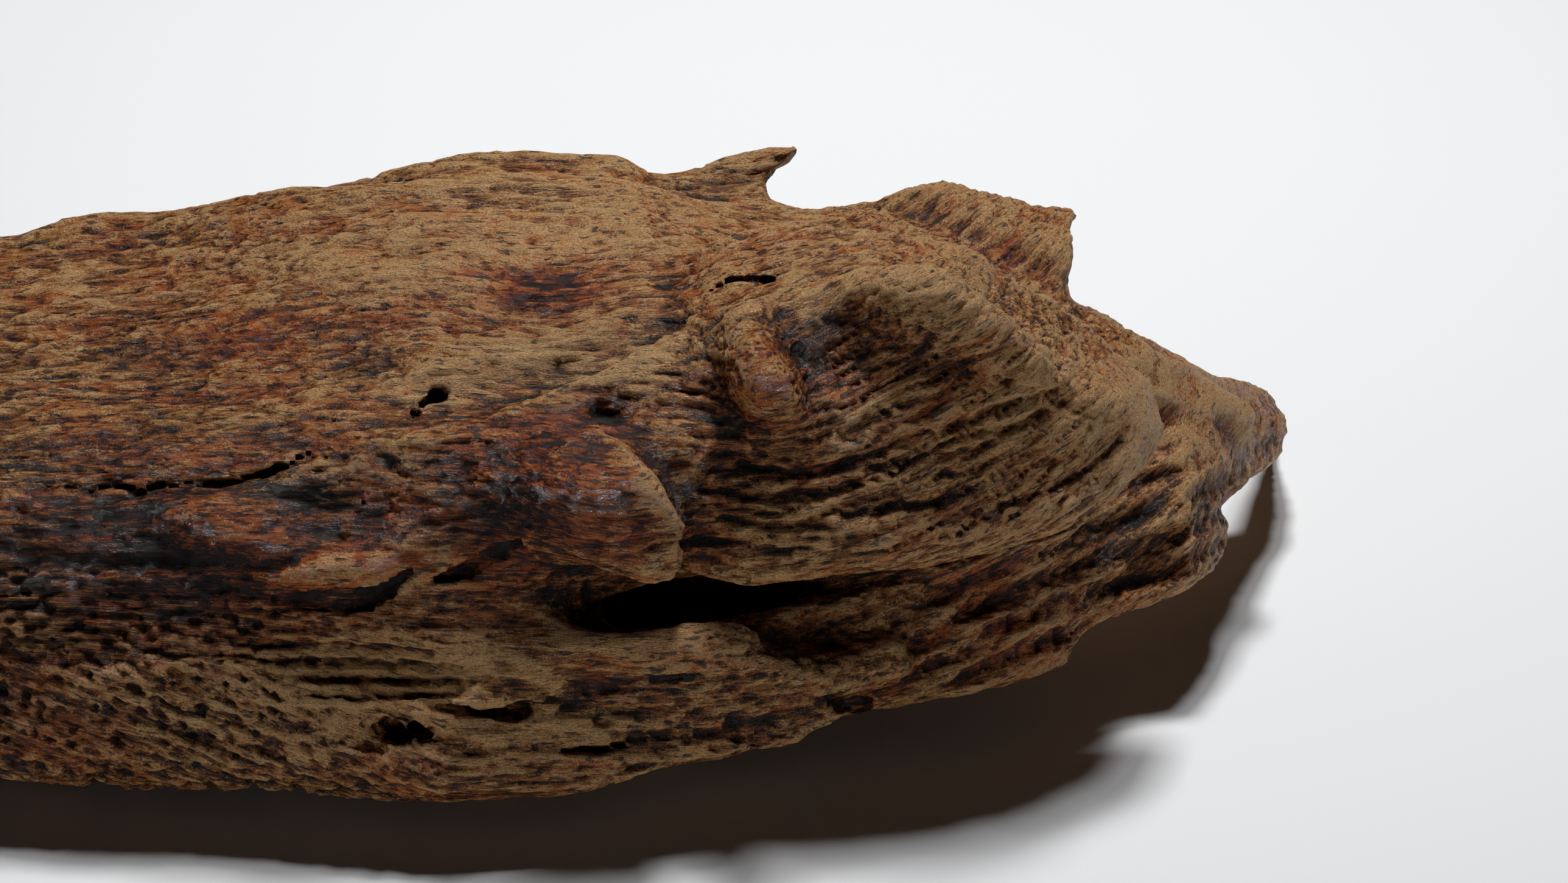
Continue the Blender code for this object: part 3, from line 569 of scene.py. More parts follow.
def trunk(p):
    """The long body of the chunk: a front, a top, an underside and a rear, rounded together."""
    u = upright(p)
    (s, t, d), (y, z) = p.T, u.T[1:]
    crest, front = section(s, CREST_HEIGHT), section(s, FRONT_DEPTH)
    f = d - front + LEFT_ROUND * (t - LEFT_MIDDLE) ** 2 * np.clip((-s - 20) / 30, 0, 1)
    crest_y, crest_z = crest * SINE - front * COSINE, crest * COSINE + front * SINE
    slope = np.radians(section(s, TOP_SLOPE))
    rise = np.tan(slope)
    f = meet(f, (z - crest_z - rise * (y - crest_y)) * np.cos(slope) - CREST_LIFT, CREST_EDGE)
    f = meet(f, section(s, LOWER_EDGE) - t, FRONT_EDGE)
    under = np.where(y < UNDER_MIDDLE, UNDER_ROUND_FRONT, UNDER_ROUND_REAR)
    f = meet(f, section(s, UNDERSIDE) - z + under * (y - UNDER_MIDDLE) ** 2, FOOT_EDGE)
    rear = section(s, REAR)
    for height, turn, shift in REAR_WAVES:
        rear = rear + height * np.sin(s * turn + shift)
    f = meet(f, y - rear + REAR_ROUND * (z - REAR_MIDDLE) ** 2, REAR_EDGE)
    shoulder = (y - rear) * 0.8 + (z - crest_z - rise * (rear - crest_y)) * 0.6 + SHOULDER_LIFT
    f = meet(f, shoulder, SHOULDER_EDGE)
    return meet(f, np.maximum(left_break(s, y, z), s - END_OF_WOOD), END_EDGE)


def left_break(s, y, z):
    """The left end is snapped off, in long spurs that follow the grain."""
    spurs = 0
    for length, back, up, place, seed in SPURS:
        across = np.stack([np.full_like(y, place), y / back, z / up], axis=1)
        spurs = spurs + length * noise(across, seed)
    return (LEFT_BREAK - 0.35 * (z + 9) + 0.2 * np.maximum(y - 8, 0) - spurs - s) * 0.6


def flange_half(s):
    """The flange thickens where it turns back at its right end."""
    return FLANGE_HALF + FLANGE_SWELLS_BY * np.maximum(s - FLANGE_SWELLS_AT, 0)


def flange_depth(s, t):
    """The flange goes back to the right, leans away above, and is ridged along its rim."""
    rim = np.interp(s, *FLANGE_FOOT)
    leans_away = 0.10 * (t - rim) + FLANGE_LEAN * np.maximum(t + 2, 0) * np.clip((s - 24) / 8, 0, 1)
    depth = np.interp(s, *FLANGE_RUN) - flange_half(s) - leans_away
    across = t - 0.40 * (s - 8) + 0.6 * np.sin(0.23 * s)
    height = RIDGE_HEIGHT * (0.8 + 0.4 * np.sin(0.31 * s + 1.1 * t))
    ridges = height * np.cos(across * 2 * math.pi / RIDGE_PITCH)
    thick_rim = 0.8 * np.exp(-(((t - rim - 1.2) / 1.8) ** 2))
    return depth + ridges * np.clip((2 - t) / 4, 0.15, 1) + thick_rim


def head(p):
    """The swollen knot over the flange, whose face swells out inside the ridge round it."""
    s, t, d = p.T
    left, right, below, above = HEAD_ROUND
    across, up = s - HEAD_MIDDLE[0], t - HEAD_MIDDLE[1]
    front = d - HEAD_FRONT + np.where(across > 0, right, left) * across**2
    front = front + np.where(up < 0, below, above) * up**2
    widens = 0.10 + 0.42 * np.clip(t / 6 + 0.6, 0, 1)
    f = meet(outline(s, t, HEAD_RIDGE) + (front + 1) * widens, front, 2.2)
    f = np.maximum(f, HEAD_BACK - d)
    y, z = upright(p).T[1:]
    return meet(f, z - HEAD_TOP + 0.015 * (s - 6) ** 2 + 0.14 * np.maximum(y - 6, 0), 5)


def fin_depth(s, t):
    """The fin stands far back and leans away."""
    return -31 + 0.12 * (s - 10) - FIN_LEAN * (t - 17) + 0.8 * np.sin(t * 0.7 + s * 0.35)


def horn_depth(s, t):
    """The horn stands still further back, and leans less."""
    return -33 + 0.1 * (s + 4) - HORN_LEAN * (t - 22)


def splinter_half(s):
    """The splinter thins to the right."""
    return 2.8 - 0.040 * (s + 24)


def splinter_depth(s, t):
    """Its front bows back at both ends."""
    return 0.8 - 0.0052 * (s + 30) ** 2 - splinter_half(s)


def ribs(p):
    """Long weathered ribs and furrows on the rear, the underside and the left end."""
    y, z = upright(p).T[1:]
    where = np.clip((y - 8) / 18, 0, 1) * np.clip((1 - z) / 8, 0, 1)
    where = where + np.clip((-72 - p[:, 0]) / 12, 0, 1)
    broad, narrow = (stretched(p, size, 21 + i) for i, size in enumerate(RIB_SIZES))
    height = RIB_HEIGHTS[0] * np.abs(broad) + RIB_HEIGHTS[1] * np.abs(narrow) - RIB_LEVEL
    return np.minimum(where, 1) * height


def swells(p):
    """Slow swells and dents, drawn out along the grain."""
    long, short = (stretched(p, size, 3 + 4 * i) for i, size in enumerate(SWELL_SIZES))
    return SWELL_HEIGHTS[0] * long + SWELL_HEIGHTS[1] * short


def wood(p):
    """The whole chunk. The last number of each blend and carve is its width in millimetres."""
    u = upright(p)
    f = trunk(p)
    for points, radii in FURROWS:
        f = carve(f, limb(u, points, radii), 2.5)
    f = carve(f, block(u, *SPLIT_OFF), 1.2)
    f = blend(f, lump(u, *REAR_KNOT), 5)
    f = f + ribs(p)
    f = blend(f, blade(p, FLANGE_RIM, flange_depth, flange_half, 1.0), 3)
    f = blend(f, head(p), 2)
    for _, points, radii, width in SWELLINGS:
        f = blend(f, limb(p, points, radii), width)
    for _, middle, radii, turn, width in LUMPS:
        f = blend(f, lump(p, middle, radii, turn), width)
    f = blend(f, blade(p, FIN_OUTLINE, fin_depth, FIN_HALF, 1.5), 2.5)
    f = blend(f, blade(p, HORN_OUTLINE, horn_depth, HORN_HALF, 1.6), 4)
    f = blend(f, blade(p, SPLINTER_OUTLINE, splinter_depth, splinter_half, 0.6), 0.8)
    f = blend(f, limb(p, *SCALLOP_RIM), 0.8)
    f = f + swells(p)
    for _, points, radii, width in CHANNELS:
        f = carve(f, limb(p, points, radii), width)
    middle, radii, turn, width = SCALLOP
    f = carve(f, lump(p, middle, radii, turn), width)
    return np.maximum(f, REST_HEIGHT - u[:, 2])


def leaning(u):
    """Upright points laid back into the leaning frame."""
    x, y, z = u.T
    return np.stack([x, y * SINE + z * COSINE, -y * COSINE + z * SINE], axis=1)


def grain(p):
    """Places that follow the fibres: along them, across them in the face, and into the wood."""
    s, t, d = p.T
    bend = np.maximum(s + 6, 0)
    across = 44 - np.sqrt(bend * bend + (44 - t) ** 2)
    across = across + 0.35 * np.maximum(-s - 28, 0) * np.clip((-12 - t) / 6, 0, 1) * -1
    for (ms, mt), reach, push in (((-2, 5), 5.5, 2.4), ((-14, -4), 5.0, 2.0), ((-20, 13), 5, 2)):
        away = (s - ms) ** 2 + (t - mt) ** 2
        across = across + push * np.exp(-away / (2 * reach * reach))
    along = s + 0.2 * t
    return np.stack([along, across, d + 0.3 * t], axis=1).astype(np.float32)


def beside(s, t, a, b):
    """How far along the line from a to b each point lies, from 0 to 1, and how far from it."""
    run = b - a
    u = np.clip(((s - a[0]) * run[0] + (t - a[1]) * run[1]) / (run @ run), 0, 1)
    return u, np.hypot(s - a[0] - u * run[0], t - a[1] - u * run[1])


def inside_patch(p, middle, reach):
    """1 well inside a patch seen from the front and 0 well outside, with a steep edge."""
    (s, t), (ms, mt), (rs, rt) = p.T[:2], middle, reach
    return np.exp(-(((s - ms) / rs) ** 4) - ((t - mt) / rt) ** 4)


def slit(p, path, half, depth, face):
    """A thin crack cut straight in from the front along a ragged path."""
    out = np.full(len(p), FAR, np.float32)
    path = through(np.asarray(path, np.float32))
    close = near(p[:, :2], path, 3) & (p[:, 2] > face.min() - depth - 2)
    q = p[close]
    s, t, d = q.T
    for height, size, seed in CRACK_BENDS:
        t = t + height * stretched(q, size, seed)
    best, floor = np.full(len(q), FAR, np.float32), np.zeros(len(q), np.float32)
    ends = np.linspace(0, 1, len(path))
    for a, b, u0, u1, da, db in zip(path, path[1:], ends, ends[1:], face, face[1:]):
        u, gap = beside(s, t, a, b)
        at = u0 + (u1 - u0) * u
        width = half * np.sqrt(np.maximum(4 * at * (1 - at), 0.05))
        nearer = gap - width < best
        best = np.where(nearer, gap - width, best)
        floor = np.where(nearer, da + (db - da) * u, floor)
    narrows = np.maximum(floor - d, 0) * 0.25 * half / depth
    out[close] = np.maximum(best + narrows, floor - depth - d)
    return out


def front_of(points):
    """How far out the wood comes at these points of the front face."""
    depths = np.arange(10, -45, -0.5, dtype=np.float32)
    points = np.asarray(points, np.float32)
    grid = np.repeat(points, len(depths), axis=0)
    grid = np.column_stack([grid, np.tile(depths, len(points))])
    inside = wood(grid).reshape(len(points), -1) < 0
    return np.where(inside.any(1), depths[inside.argmax(1)], depths[-1])


def layers(p):
    """Broken layers of fibre along the splinter and under the head."""
    g = grain(p)
    ragged = stretched(g, (8, 2, 2), 31) + 0.5 * stretched(g, (2, 0.9, 0.9), 32)
    steps = np.round(ragged * LAYER_STEPS) / LAYER_STEPS
    return inside_patch(p, *LAYERS_AT) * (LAYER_HEIGHT * steps + LAYER_RAGGED * ragged)


def detailed_wood(cuts, p):
    """The chunk with its layers of fibre, and with its cracks cut in."""
    f = wood(p) + layers(p)
    for cut in cuts:
        f = carve(f, slit(p, *cut), 0.3)
    return np.maximum(f, REST_HEIGHT - upright(p)[:, 2])


def in_parts(field, p, size=60000):
    """A field at many points, in parts that run side by side."""
    parts = [p[i : i + size] for i in range(0, len(p), size)]
    with ThreadPoolExecutor(THREADS) as pool:
        return np.concatenate(list(pool.map(field, parts)))


def surface(field, low, high, cell):
    """Points and quads where the field is zero: sampled coarsely, then finer near the surface."""
    low = np.asarray(low, float)
    cells = np.ceil((np.asarray(high) - low) / (cell * STEPS[0])).astype(int)
    at = low + cell * STEPS[0] * np.stack(np.indices(cells + 1), -1).reshape(-1, 3)
    values = in_parts(field, at.astype(np.float32)).reshape(cells + 1)
    for step, finer, reach in zip(STEPS, STEPS[1:], REACH):
        split = step // finer
        corners = [
            values[i : i + cells[0], j : j + cells[1], k : k + cells[2]]
            for i, j, k in np.ndindex(2, 2, 2)
        ]
        lowest, highest = np.minimum.reduce(corners), np.maximum.reduce(corners)
        cut = cell * step
        small = np.ones((split,) * 3, np.float32)
        sign = np.where(lowest > 0, cut, -cut).astype(np.float32)
        close_cells = (lowest < reach) & (highest > -reach)
        cells = cells * split
        values = np.full(cells + 1, cut, np.float32)
        values[:-1, :-1, :-1] = np.kron(sign, small)
        inner = np.kron(close_cells, small) > 0
        close = np.zeros(values.shape, bool)
        for i, j, k in np.ndindex(2, 2, 2):
            close[i : i + cells[0], j : j + cells[1], k : k + cells[2]] |= inner
        at = low + np.argwhere(close) * (cell * finer)
        values[close] = in_parts(field, at.astype(np.float32))
    grid = openvdb.FloatGrid(cell * 3)
    grid.copyFromArray(np.clip(values, -cell * 3, cell * 3))
    points, _, quads = grid.convertToPolygons(isovalue=0.0, adaptivity=0.0)
    return points * cell + low, quads


def largest_shell(points, quads):
    """Keeps only the largest connected shell, so that no scrap hangs in the air."""
    label = np.arange(len(points))
    while True:
        lowest = label[quads].min(1)
        was = label.copy()
        for corner in range(4):
            np.minimum.at(label, quads[:, corner], lowest)
        label = label[label]
        if (label == was).all():
            break
    names, counts = np.unique(label, return_counts=True)
    keep = label == names[counts.argmax()]
    index = np.cumsum(keep) - 1
    return points[keep], index[quads[keep[quads[:, 0]]]]


def rubbed(p):
    """How smoothly the wood has been rubbed at each point, from 0 to 1."""
    smooth = np.zeros(len(p), np.float32)
    for _, middle, reach in RUBBED:
        smooth = np.maximum(smooth, inside_patch(p, middle, reach))
    return smooth


def relief(p):
    """How far the skin stands out or sinks in, in millimetres."""
    g = grain(p)
    s, t, d = p.T
    belly = inside_patch(p, *BELLY_AT) * (d > FRONT_FACE)
    left = np.clip((-s - 24) / 20, 0, 1) * np.clip((-8 - t) / 8, 0, 1)
    warp = 0.5 * noise(p / 3, 41)[:, None]
    cord = stretched(g, (14, 3.2, 3.2), 44)
    crumb = noise(p / 0.9, 45) + 0.6 * stretched(p, (1.6, 0.6, 0.6), 46)
    depth = (SKIN_DEPTH + BELLY_DEPTH * belly + LEFT_DEPTH * left) * (1 - RUBBED_OFF * rubbed(p))
    out = 0
    for size, share, seed in SKIN_FURROWS:
        furrow = np.abs(stretched(g + warp, size, seed))
        out = out + share * depth * (np.minimum(furrow * FURROW_SIDES, 1) - 1)
    out = out + CORD_HEIGHT * cord + (CRUMB_HEIGHT + LEFT_CRUMB_HEIGHT * left) * crumb
    return out + pores(g, left) + comb(p) + wrinkles(p)


def pores(g, left):
    """Arcs of small pits in the crumbled corner."""
    q = g[:, :2] / np.array(PIT_SPACING, np.float32)
    cell = np.floor(q).astype(np.int64)
    best = np.full(len(g), 9.0, np.float32)
    for i, j in np.ndindex(3, 3):
        c = cell + (i - 1, j - 1)
        key = SHUFFLE[(SHUFFLE[c[:, 0] & 255] + c[:, 1]) & 255]
        shift = SLOPES[key]
        middle = c + 0.5 + 0.3 * shift[:, :2]
        size = PIT_SIZE + PIT_SPREAD * shift[:, 2]
        away = np.hypot((q - middle)[:, 0] * 1.5, (q - middle)[:, 1] * 1.3)
        best = np.minimum(best, away / np.maximum(size, 0.12))
    return -PIT_DEPTH * left * np.clip(1.15 - best, 0, 0.6)


def comb(p):
    """Bared fibres across the scallop, like the teeth of a comb."""
    s, t, d = p.T
    fan = (t + 20) / (1 + 0.02 * np.maximum(-27 - s, 0)) + 0.3 * noise(p / 2.5, 47)
    teeth = np.cos(fan * 2 * math.pi / TOOTH_SPACING) - 0.2
    return inside_patch(p, *COMB_AT) * TOOTH_HEIGHT * teeth


def wrinkles(p):
    """Single deep wrinkles where the wood was squeezed."""
    out = np.zeros(len(p), np.float32)
    for path, half, depth in WRINKLES:
        path = through(np.asarray(path, np.float32))
        close = near(p[:, :2], path, 3) & (p[:, 2] > FRONT_FACE)
        s, t, d = p[close].T
        gap = np.full(len(s), FAR, np.float32)
        for a, b in zip(path, path[1:]):
            gap = np.minimum(gap, beside(s, t, a, b)[1])
        out[close] = np.minimum(out[close], -0.7 * depth * np.clip(1.3 - gap / half, 0, 1))
    return out


def smoothed(edges, points, turns):
    """Points averaged with their neighbours a number of times."""
    a, b = edges.T
    count = np.bincount(a, minlength=len(points)) + np.bincount(b, minlength=len(points))
    for _ in range(turns):
        total = [np.bincount(a, p[b], len(p)) + np.bincount(b, p[a], len(p)) for p in points.T]
        points = (points + np.stack(total, axis=1) / np.maximum(count, 1)[:, None]) / 2
    return points


def read(mesh, owner, name, width, kind=np.float32):
    """One value of every point, corner or edge of a mesh, as rows."""
    out = np.empty(len(getattr(mesh, owner)) * width, kind)
    getattr(mesh, owner).foreach_get(name, out)
    return out.reshape(-1, width)


def as_mesh(name, points, faces):
    """A mesh object from arrays of points and of faces with one number of corners each."""
    mesh = bpy.data.meshes.new(name)
    count, corners = faces.shape
    mesh.vertices.add(len(points))
    mesh.vertices.foreach_set("co", points.astype(np.float32).ravel())
    mesh.loops.add(count * corners)
    mesh.loops.foreach_set("vertex_index", faces.astype(np.int32).ravel())
    mesh.polygons.add(count)
    mesh.polygons.foreach_set("loop_start", np.arange(0, count * corners, corners, dtype=np.int32))
    mesh.update(calc_edges=True)
    mesh.validate()
    made = bpy.data.objects.new(name, mesh)
    bpy.context.scene.collection.objects.link(made)
    return made


def put_vectors(mesh, name, values):
    """Keeps three numbers for each point of a mesh."""
    made = mesh.attributes.new(name, "FLOAT_VECTOR", "POINT")
    made.data.foreach_set("vector", values.astype(np.float32).ravel())


def patches(p):
    """How dusty, how resinous and how red the wood is at each point."""
    s, t, d = p.T
    out = np.zeros((len(p), 3), np.float32)
    for _, (ms, mt), (rs, rt), *amounts in PATCHES:
        weight = np.exp(-(((s - ms) / rs) ** 2) - ((t - mt) / rt) ** 2)
        out += weight[:, None] * np.array(amounts, np.float32)
    return out


# How often the mesh is smoothed to leave out its fine relief, and then its broad relief too
FINE_TURNS, BROAD_TURNS = 3, 30


def dress(chunk, shift):
    """Stores where each point lies in the grain, its height in the relief, and its patch."""
    mesh = chunk.data
    points = read(mesh, "vertices", "co", 3).astype(float) * 1000
    normals = read(mesh, "vertex_normals", "vector", 3)
    edges = read(mesh, "edges", "vertices", 2, np.int32)
    fine = smoothed(edges, points, FINE_TURNS)
    broad = smoothed(edges, fine, BROAD_TURNS)
    p = leaning((points - shift).astype(np.float32))
    height = np.stack(
        [((points - fine) * normals).sum(1), ((fine - broad) * normals).sum(1), rubbed(p)], axis=1
    )
    put_vectors(mesh, "grain", grain(p))
    put_vectors(mesh, "height", height)
    put_vectors(mesh, "patch", patches(p))


def colour(code):
    """An sRGB hex colour turned to linear."""
    parts = [int(code[i : i + 2], 16) / 255 for i in (1, 3, 5)]
    return (*(c / 12.92 if c <= 0.04045 else ((c + 0.055) / 1.055) ** 2.4 for c in parts), 1)


def node(tree, kind, sockets, **settings):
    """Adds a node with its settings. Its sockets get numbers, colours or links from other nodes."""
    made = tree.nodes.new(kind)
    for key, value in settings.items():
        setattr(made, key, value)
    for socket, value in sockets.items():
        if isinstance(value, bpy.types.Node):
            value = next(output for output in value.outputs if output.enabled)
        if isinstance(value, bpy.types.NodeSocket):
            tree.links.new(value, made.inputs[socket])
        else:
            made.inputs[socket].default_value = value
    return made


# Noises in the wood: how many a millimetre along the grain and across it, detail, roughness, warp.
# A streak is 12 mm long and 1.2 wide, a fibre 2 by 0.3, a hair 0.8 by 0.1, a dash of resin 1.7 by
# 0.35, a cloud 10 by 4.5 and a crumb of dry wood 2.2 by 1.2. Grit is really under 0.1 mm, and is
# drawn at 0.15 to show.
GRAIN_NOISES = {
    "streak": (0.08, 0.8, 5, 0.62, 0.3),
    "fibre": (0.5, 3.6, 4, 0.68, 0.2),
    "hair": (1.2, 9.0, 2, 0.6, 0.0),
    "dash": (0.6, 2.9, 1, 0.5, 0.4),
    "cloud": (0.10, 0.22, 4, 0.6, 0.4),
    "grit": (5.5, 7.0, 3, 0.7, 0.0),
    "crumb": (0.45, 0.8, 8, 0.8, 0.6),
}
# Where resin-black, dark, brown, gold and tan lie on the scale of tones
TONE_STOPS = (0.06, 0.26, 0.5, 0.74, 0.97)
# How far the fibres stand out, and the hairs and grit on them, in metres
FIBRE_RELIEF, HAIR_RELIEF = 0.00042, 0.00025
WOOD_IOR = 1.5
CARD_ROUGHNESS = 0.9


def wood_material(look):
    """Agarwood, weathered and brushed by hand: black resin in rows of dashes, red-brown fibre that
    shines a little where it was rubbed, and dry tan crumbs on the ridges."""
    material = bpy.data.materials.new("Agarwood, weathered and brushed")
    material.use_nodes = True
    tree = material.node_tree
    tree.nodes.clear()
    add = partial(node, tree)

    place = add("ShaderNodeAttribute", {}, attribute_name="grain").outputs["Vector"]
    height = add("ShaderNodeAttribute", {}, attribute_name="height").outputs["Vector"]
    patch = add("ShaderNodeAttribute", {}, attribute_name="patch").outputs["Vector"]
    fine_height, broad_height, smooth = add("ShaderNodeSeparateXYZ", {0: height}).outputs
    dusty, resin, red = add("ShaderNodeSeparateXYZ", {0: patch}).outputs
    grain_noise = {}
    for name, (along, across, detail, roughness, warp) in GRAIN_NOISES.items():
        at = {0: place, 1: (along, across, across)}
        at = add("ShaderNodeVectorMath", at, operation="MULTIPLY")
        swells = {"Vector": at, "Scale": 1, "Detail": detail}
        swells.update({"Roughness": roughness, "Distortion": warp})
        grain_noise[name] = add("ShaderNodeTexNoise", swells).outputs[0]
    streak, fibre, hair, dash, cloud, grit, crumb = grain_noise.values()

    # How worn, and painted shade: the ridges of the relief are rubbed pale, and its furrows are
    # darkened, partly by their resin and partly as painted shade
    worn = add("ShaderNodeMath", {0: fine_height, 1: 3.5}, operation="MULTIPLY")
    worn = add("ShaderNodeMath", {0: broad_height, 1: 1.5, 2: worn}, operation="MULTIPLY_ADD")
    worn = add("ShaderNodeMath", {0: worn, 1: 1.2}, operation="MINIMUM")

    # Tone of the fibres, from resin-black at 0 to dry tan at 1
    tone = -1.1
    shares = (
        (fibre, 2.2), (cloud, 0.9), (streak, 1.4), (worn, 0.42), (grit, 0.7), (crumb, 0.5),
        (dusty, 0.14), (resin, -0.16),
    )
    for part, share in shares:
        tone = add("ShaderNodeMath", {0: part, 1: share, 2: tone}, operation="MULTIPLY_ADD")
    tone = add("ShaderNodeMath", {0: tone, 1: look.lift}, operation="ADD", use_clamp=True)
    tones = add("ShaderNodeValToRGB", {0: tone})
    stops = tones.color_ramp.elements
    for at, tint in zip(TONE_STOPS, (look.black, look.dark, look.brown, look.gold, look.tan)):
        stops.new(at).color = tint
    stops.remove(stops[0])
    stops.remove(stops[-1])
    base = tones.outputs["Color"]

    # Clouds of red where the resin has darkened the fibre
    reddish = {"Value": cloud, "From Min": 0.4, "From Max": 0.62, "To Min": 0.05, "To Max": 0.75}
    reddish = add("ShaderNodeMapRange", reddish, interpolation_type="SMOOTHSTEP")
    reddish = {0: red, 1: 0.8, 2: reddish}
    reddish = add("ShaderNodeMath", reddish, operation="MULTIPLY_ADD", use_clamp=True)
    reddish = {0: reddish, 6: base, 7: look.red}
    base = add("ShaderNodeMix", reddish, data_type="RGBA", blend_type="MULTIPLY")

    # Dry crumbs of tan wood caught on the ridges
    dust = crumb
    for part, share in ((worn, 0.12), (dusty, 0.12), (grit, 0.25)):
        dust = add("ShaderNodeMath", {0: part, 1: share, 2: dust}, operation="MULTIPLY_ADD")
    dust = {"Value": dust, "From Min": 0.70, "From Max": 0.80, "To Min": 0, "To Max": 0.8}
    dust = add("ShaderNodeMapRange", dust)
    crumbs = {"Value": grit, "From Min": 0.35, "From Max": 0.65}
    crumbs = add("ShaderNodeMapRange", crumbs, interpolation_type="SMOOTHSTEP")
    crumbs = add("ShaderNodeMix", {0: crumbs, 6: look.gold, 7: look.pale}, data_type="RGBA")
    base = add("ShaderNodeMix", {0: dust, 6: base, 7: crumbs}, data_type="RGBA")

    # Black in the deepest furrows, partly resin and partly painted shade, and black resin in rows
    # of short dashes along the grain
    furrow_resin_and_shade = {"Value": worn, "From Min": -0.25, "From Max": -1.1, "To Min": 0, "To Max": 0.5}
    furrow_resin_and_shade = add("ShaderNodeMapRange", furrow_resin_and_shade, interpolation_type="SMOOTHSTEP")
    base = add("ShaderNodeMix", {0: furrow_resin_and_shade, 6: base, 7: look.black}, data_type="RGBA")
    dashes = dash
    for part, share in ((resin, 0.03), (cloud, 0.3)):
        dashes = add("ShaderNodeMath", {0: part, 1: share, 2: dashes}, operation="MULTIPLY_ADD")
    dashes = {"Value": dashes, "From Min": 0.72, "From Max": 0.82, "To Min": 0, "To Max": 0.8}
    dashes = add("ShaderNodeMapRange", dashes, interpolation_type="SMOOTHSTEP")
    base = add("ShaderNodeMix", {0: dashes, 6: base, 7: look.black}, data_type="RGBA")

    # Gloss: resin and rubbed wood shine, crumbs are dry, and grit breaks both up
    gloss = look.roughness - 0.15
    for part, share in ((resin, -0.06), (dust, 0.3), (smooth, -0.12), (dashes, -0.1), (grit, 0.2)):
        gloss = add("ShaderNodeMath", {0: part, 1: share, 2: gloss}, operation="MULTIPLY_ADD")

    # Relief too fine for the mesh: fibres and crumbs, then hairs and grit on them
    skin = add("ShaderNodeMath", {0: dash, 1: -0.5, 2: fibre}, operation="MULTIPLY_ADD")
    skin = add("ShaderNodeMath", {0: crumb, 1: 0.9, 2: skin}, operation="MULTIPLY_ADD")
    bump = add("ShaderNodeBump", {"Height": skin, "Strength": 1, "Distance": FIBRE_RELIEF})
    fine = add("ShaderNodeMath", {0: hair, 1: 0.8, 2: grit}, operation="MULTIPLY_ADD")
    fine = {"Height": fine, "Strength": 1, "Distance": HAIR_RELIEF, "Normal": bump}
    bump = add("ShaderNodeBump", fine)
    skin = {"Base Color": base, "Roughness": gloss, "Normal": bump}
    skin.update({"IOR": WOOD_IOR, "Specular IOR Level": 0.5})
    add("ShaderNodeOutputMaterial", {"Surface": add("ShaderNodeBsdfPrincipled", skin)})
    return material


def card_material(look):
    """White card, pressed and left matt: an even, pale ground."""
    material = bpy.data.materials.new("Card, matt white")
    material.use_nodes = True
    shader = material.node_tree.nodes["Principled BSDF"]
    shader.inputs["Base Color"].default_value = look
    shader.inputs["Roughness"].default_value = CARD_ROUGHNESS
    return material


class ChunkSettings(bpy.types.PropertyGroup):
    """Sizes of the chunk's mesh."""

    cell: bpy.props.FloatProperty(
        name="Cell", description="Spacing of the samples, in mm", default=0.4, min=0.2, max=2
    )
    triangles: bpy.props.IntProperty(
        name="Triangles", description="Most triangles in the chunk", default=190000, min=1000
    )
    relief: bpy.props.FloatProperty(
        name="Relief", description="How strongly the skin is wrinkled", default=1.0, min=0, max=2
    )


def shade(name, what, code):
    """A colour that a user may change, with its sRGB hex default."""
    return bpy.props.FloatVectorProperty(
        name=name, description=what, subtype="COLOR", size=4, min=0, max=1, default=colour(code)
    )


class WoodSettings(bpy.types.PropertyGroup):
    """Colours and gloss of the wood."""

    # Black is also the painted shade in the deepest furrows
    black: shade("Black", "Resin in the dashes and the furrows", "#150c0a")
    dark: shade("Dark", "Resinous brown between the fibres", "#45230c")
    brown: shade("Brown", "Middle brown of the fibres", "#8e5826")
    gold: shade("Gold", "Golden brown of the drier fibres", "#bf8443")
    tan: shade("Tan", "Dry tan wood on the worn ridges", "#dfb87a")
    pale: shade("Pale", "Palest crumbs of dry wood", "#eec48c")
    red: shade("Red", "Tint of the resin where the fibre has darkened", "#eba56c")
    lift: bpy.props.FloatProperty(
        name="Lift", description="Makes the fibres paler or darker", default=-1.27, min=-2, max=1
    )
    roughness: bpy.props.FloatProperty(
        name="Roughness", description="Roughness of clean wood", default=0.31, min=0, max=1
    )


class StageSettings(bpy.types.PropertyGroup):
    """The floor, the lights and the camera."""

    floor: shade("Floor", "Colour of the card underneath", "#f2f4f6")
    aim: bpy.props.FloatVectorProperty(
        name="Aim",
        description="Where the camera looks",
        unit="LENGTH",
        default=(0.0271, -0.0190, 0.0312),
    )
    distance: bpy.props.FloatProperty(
        name="Distance", description="From the camera to the aim", unit="LENGTH", default=0.4
    )
    width: bpy.props.FloatProperty(
        name="Width", description="Width of the view at the aim", unit="LENGTH", default=0.1288
    )
    window: bpy.props.FloatProperty(
        name="Window", description="Strength of the broad light from above and behind", default=0.8
    )
    lamp: bpy.props.FloatProperty(
        name="Lamp", description="Power of the near lamp beside it", unit="POWER", default=1.2
    )
    paper: bpy.props.FloatProperty(
        name="Paper", description="Light thrown back from in front", unit="POWER", default=0.26
    )
    fill: bpy.props.FloatProperty(
        name="Fill", description="Strength of the room's light", default=0.001
    )


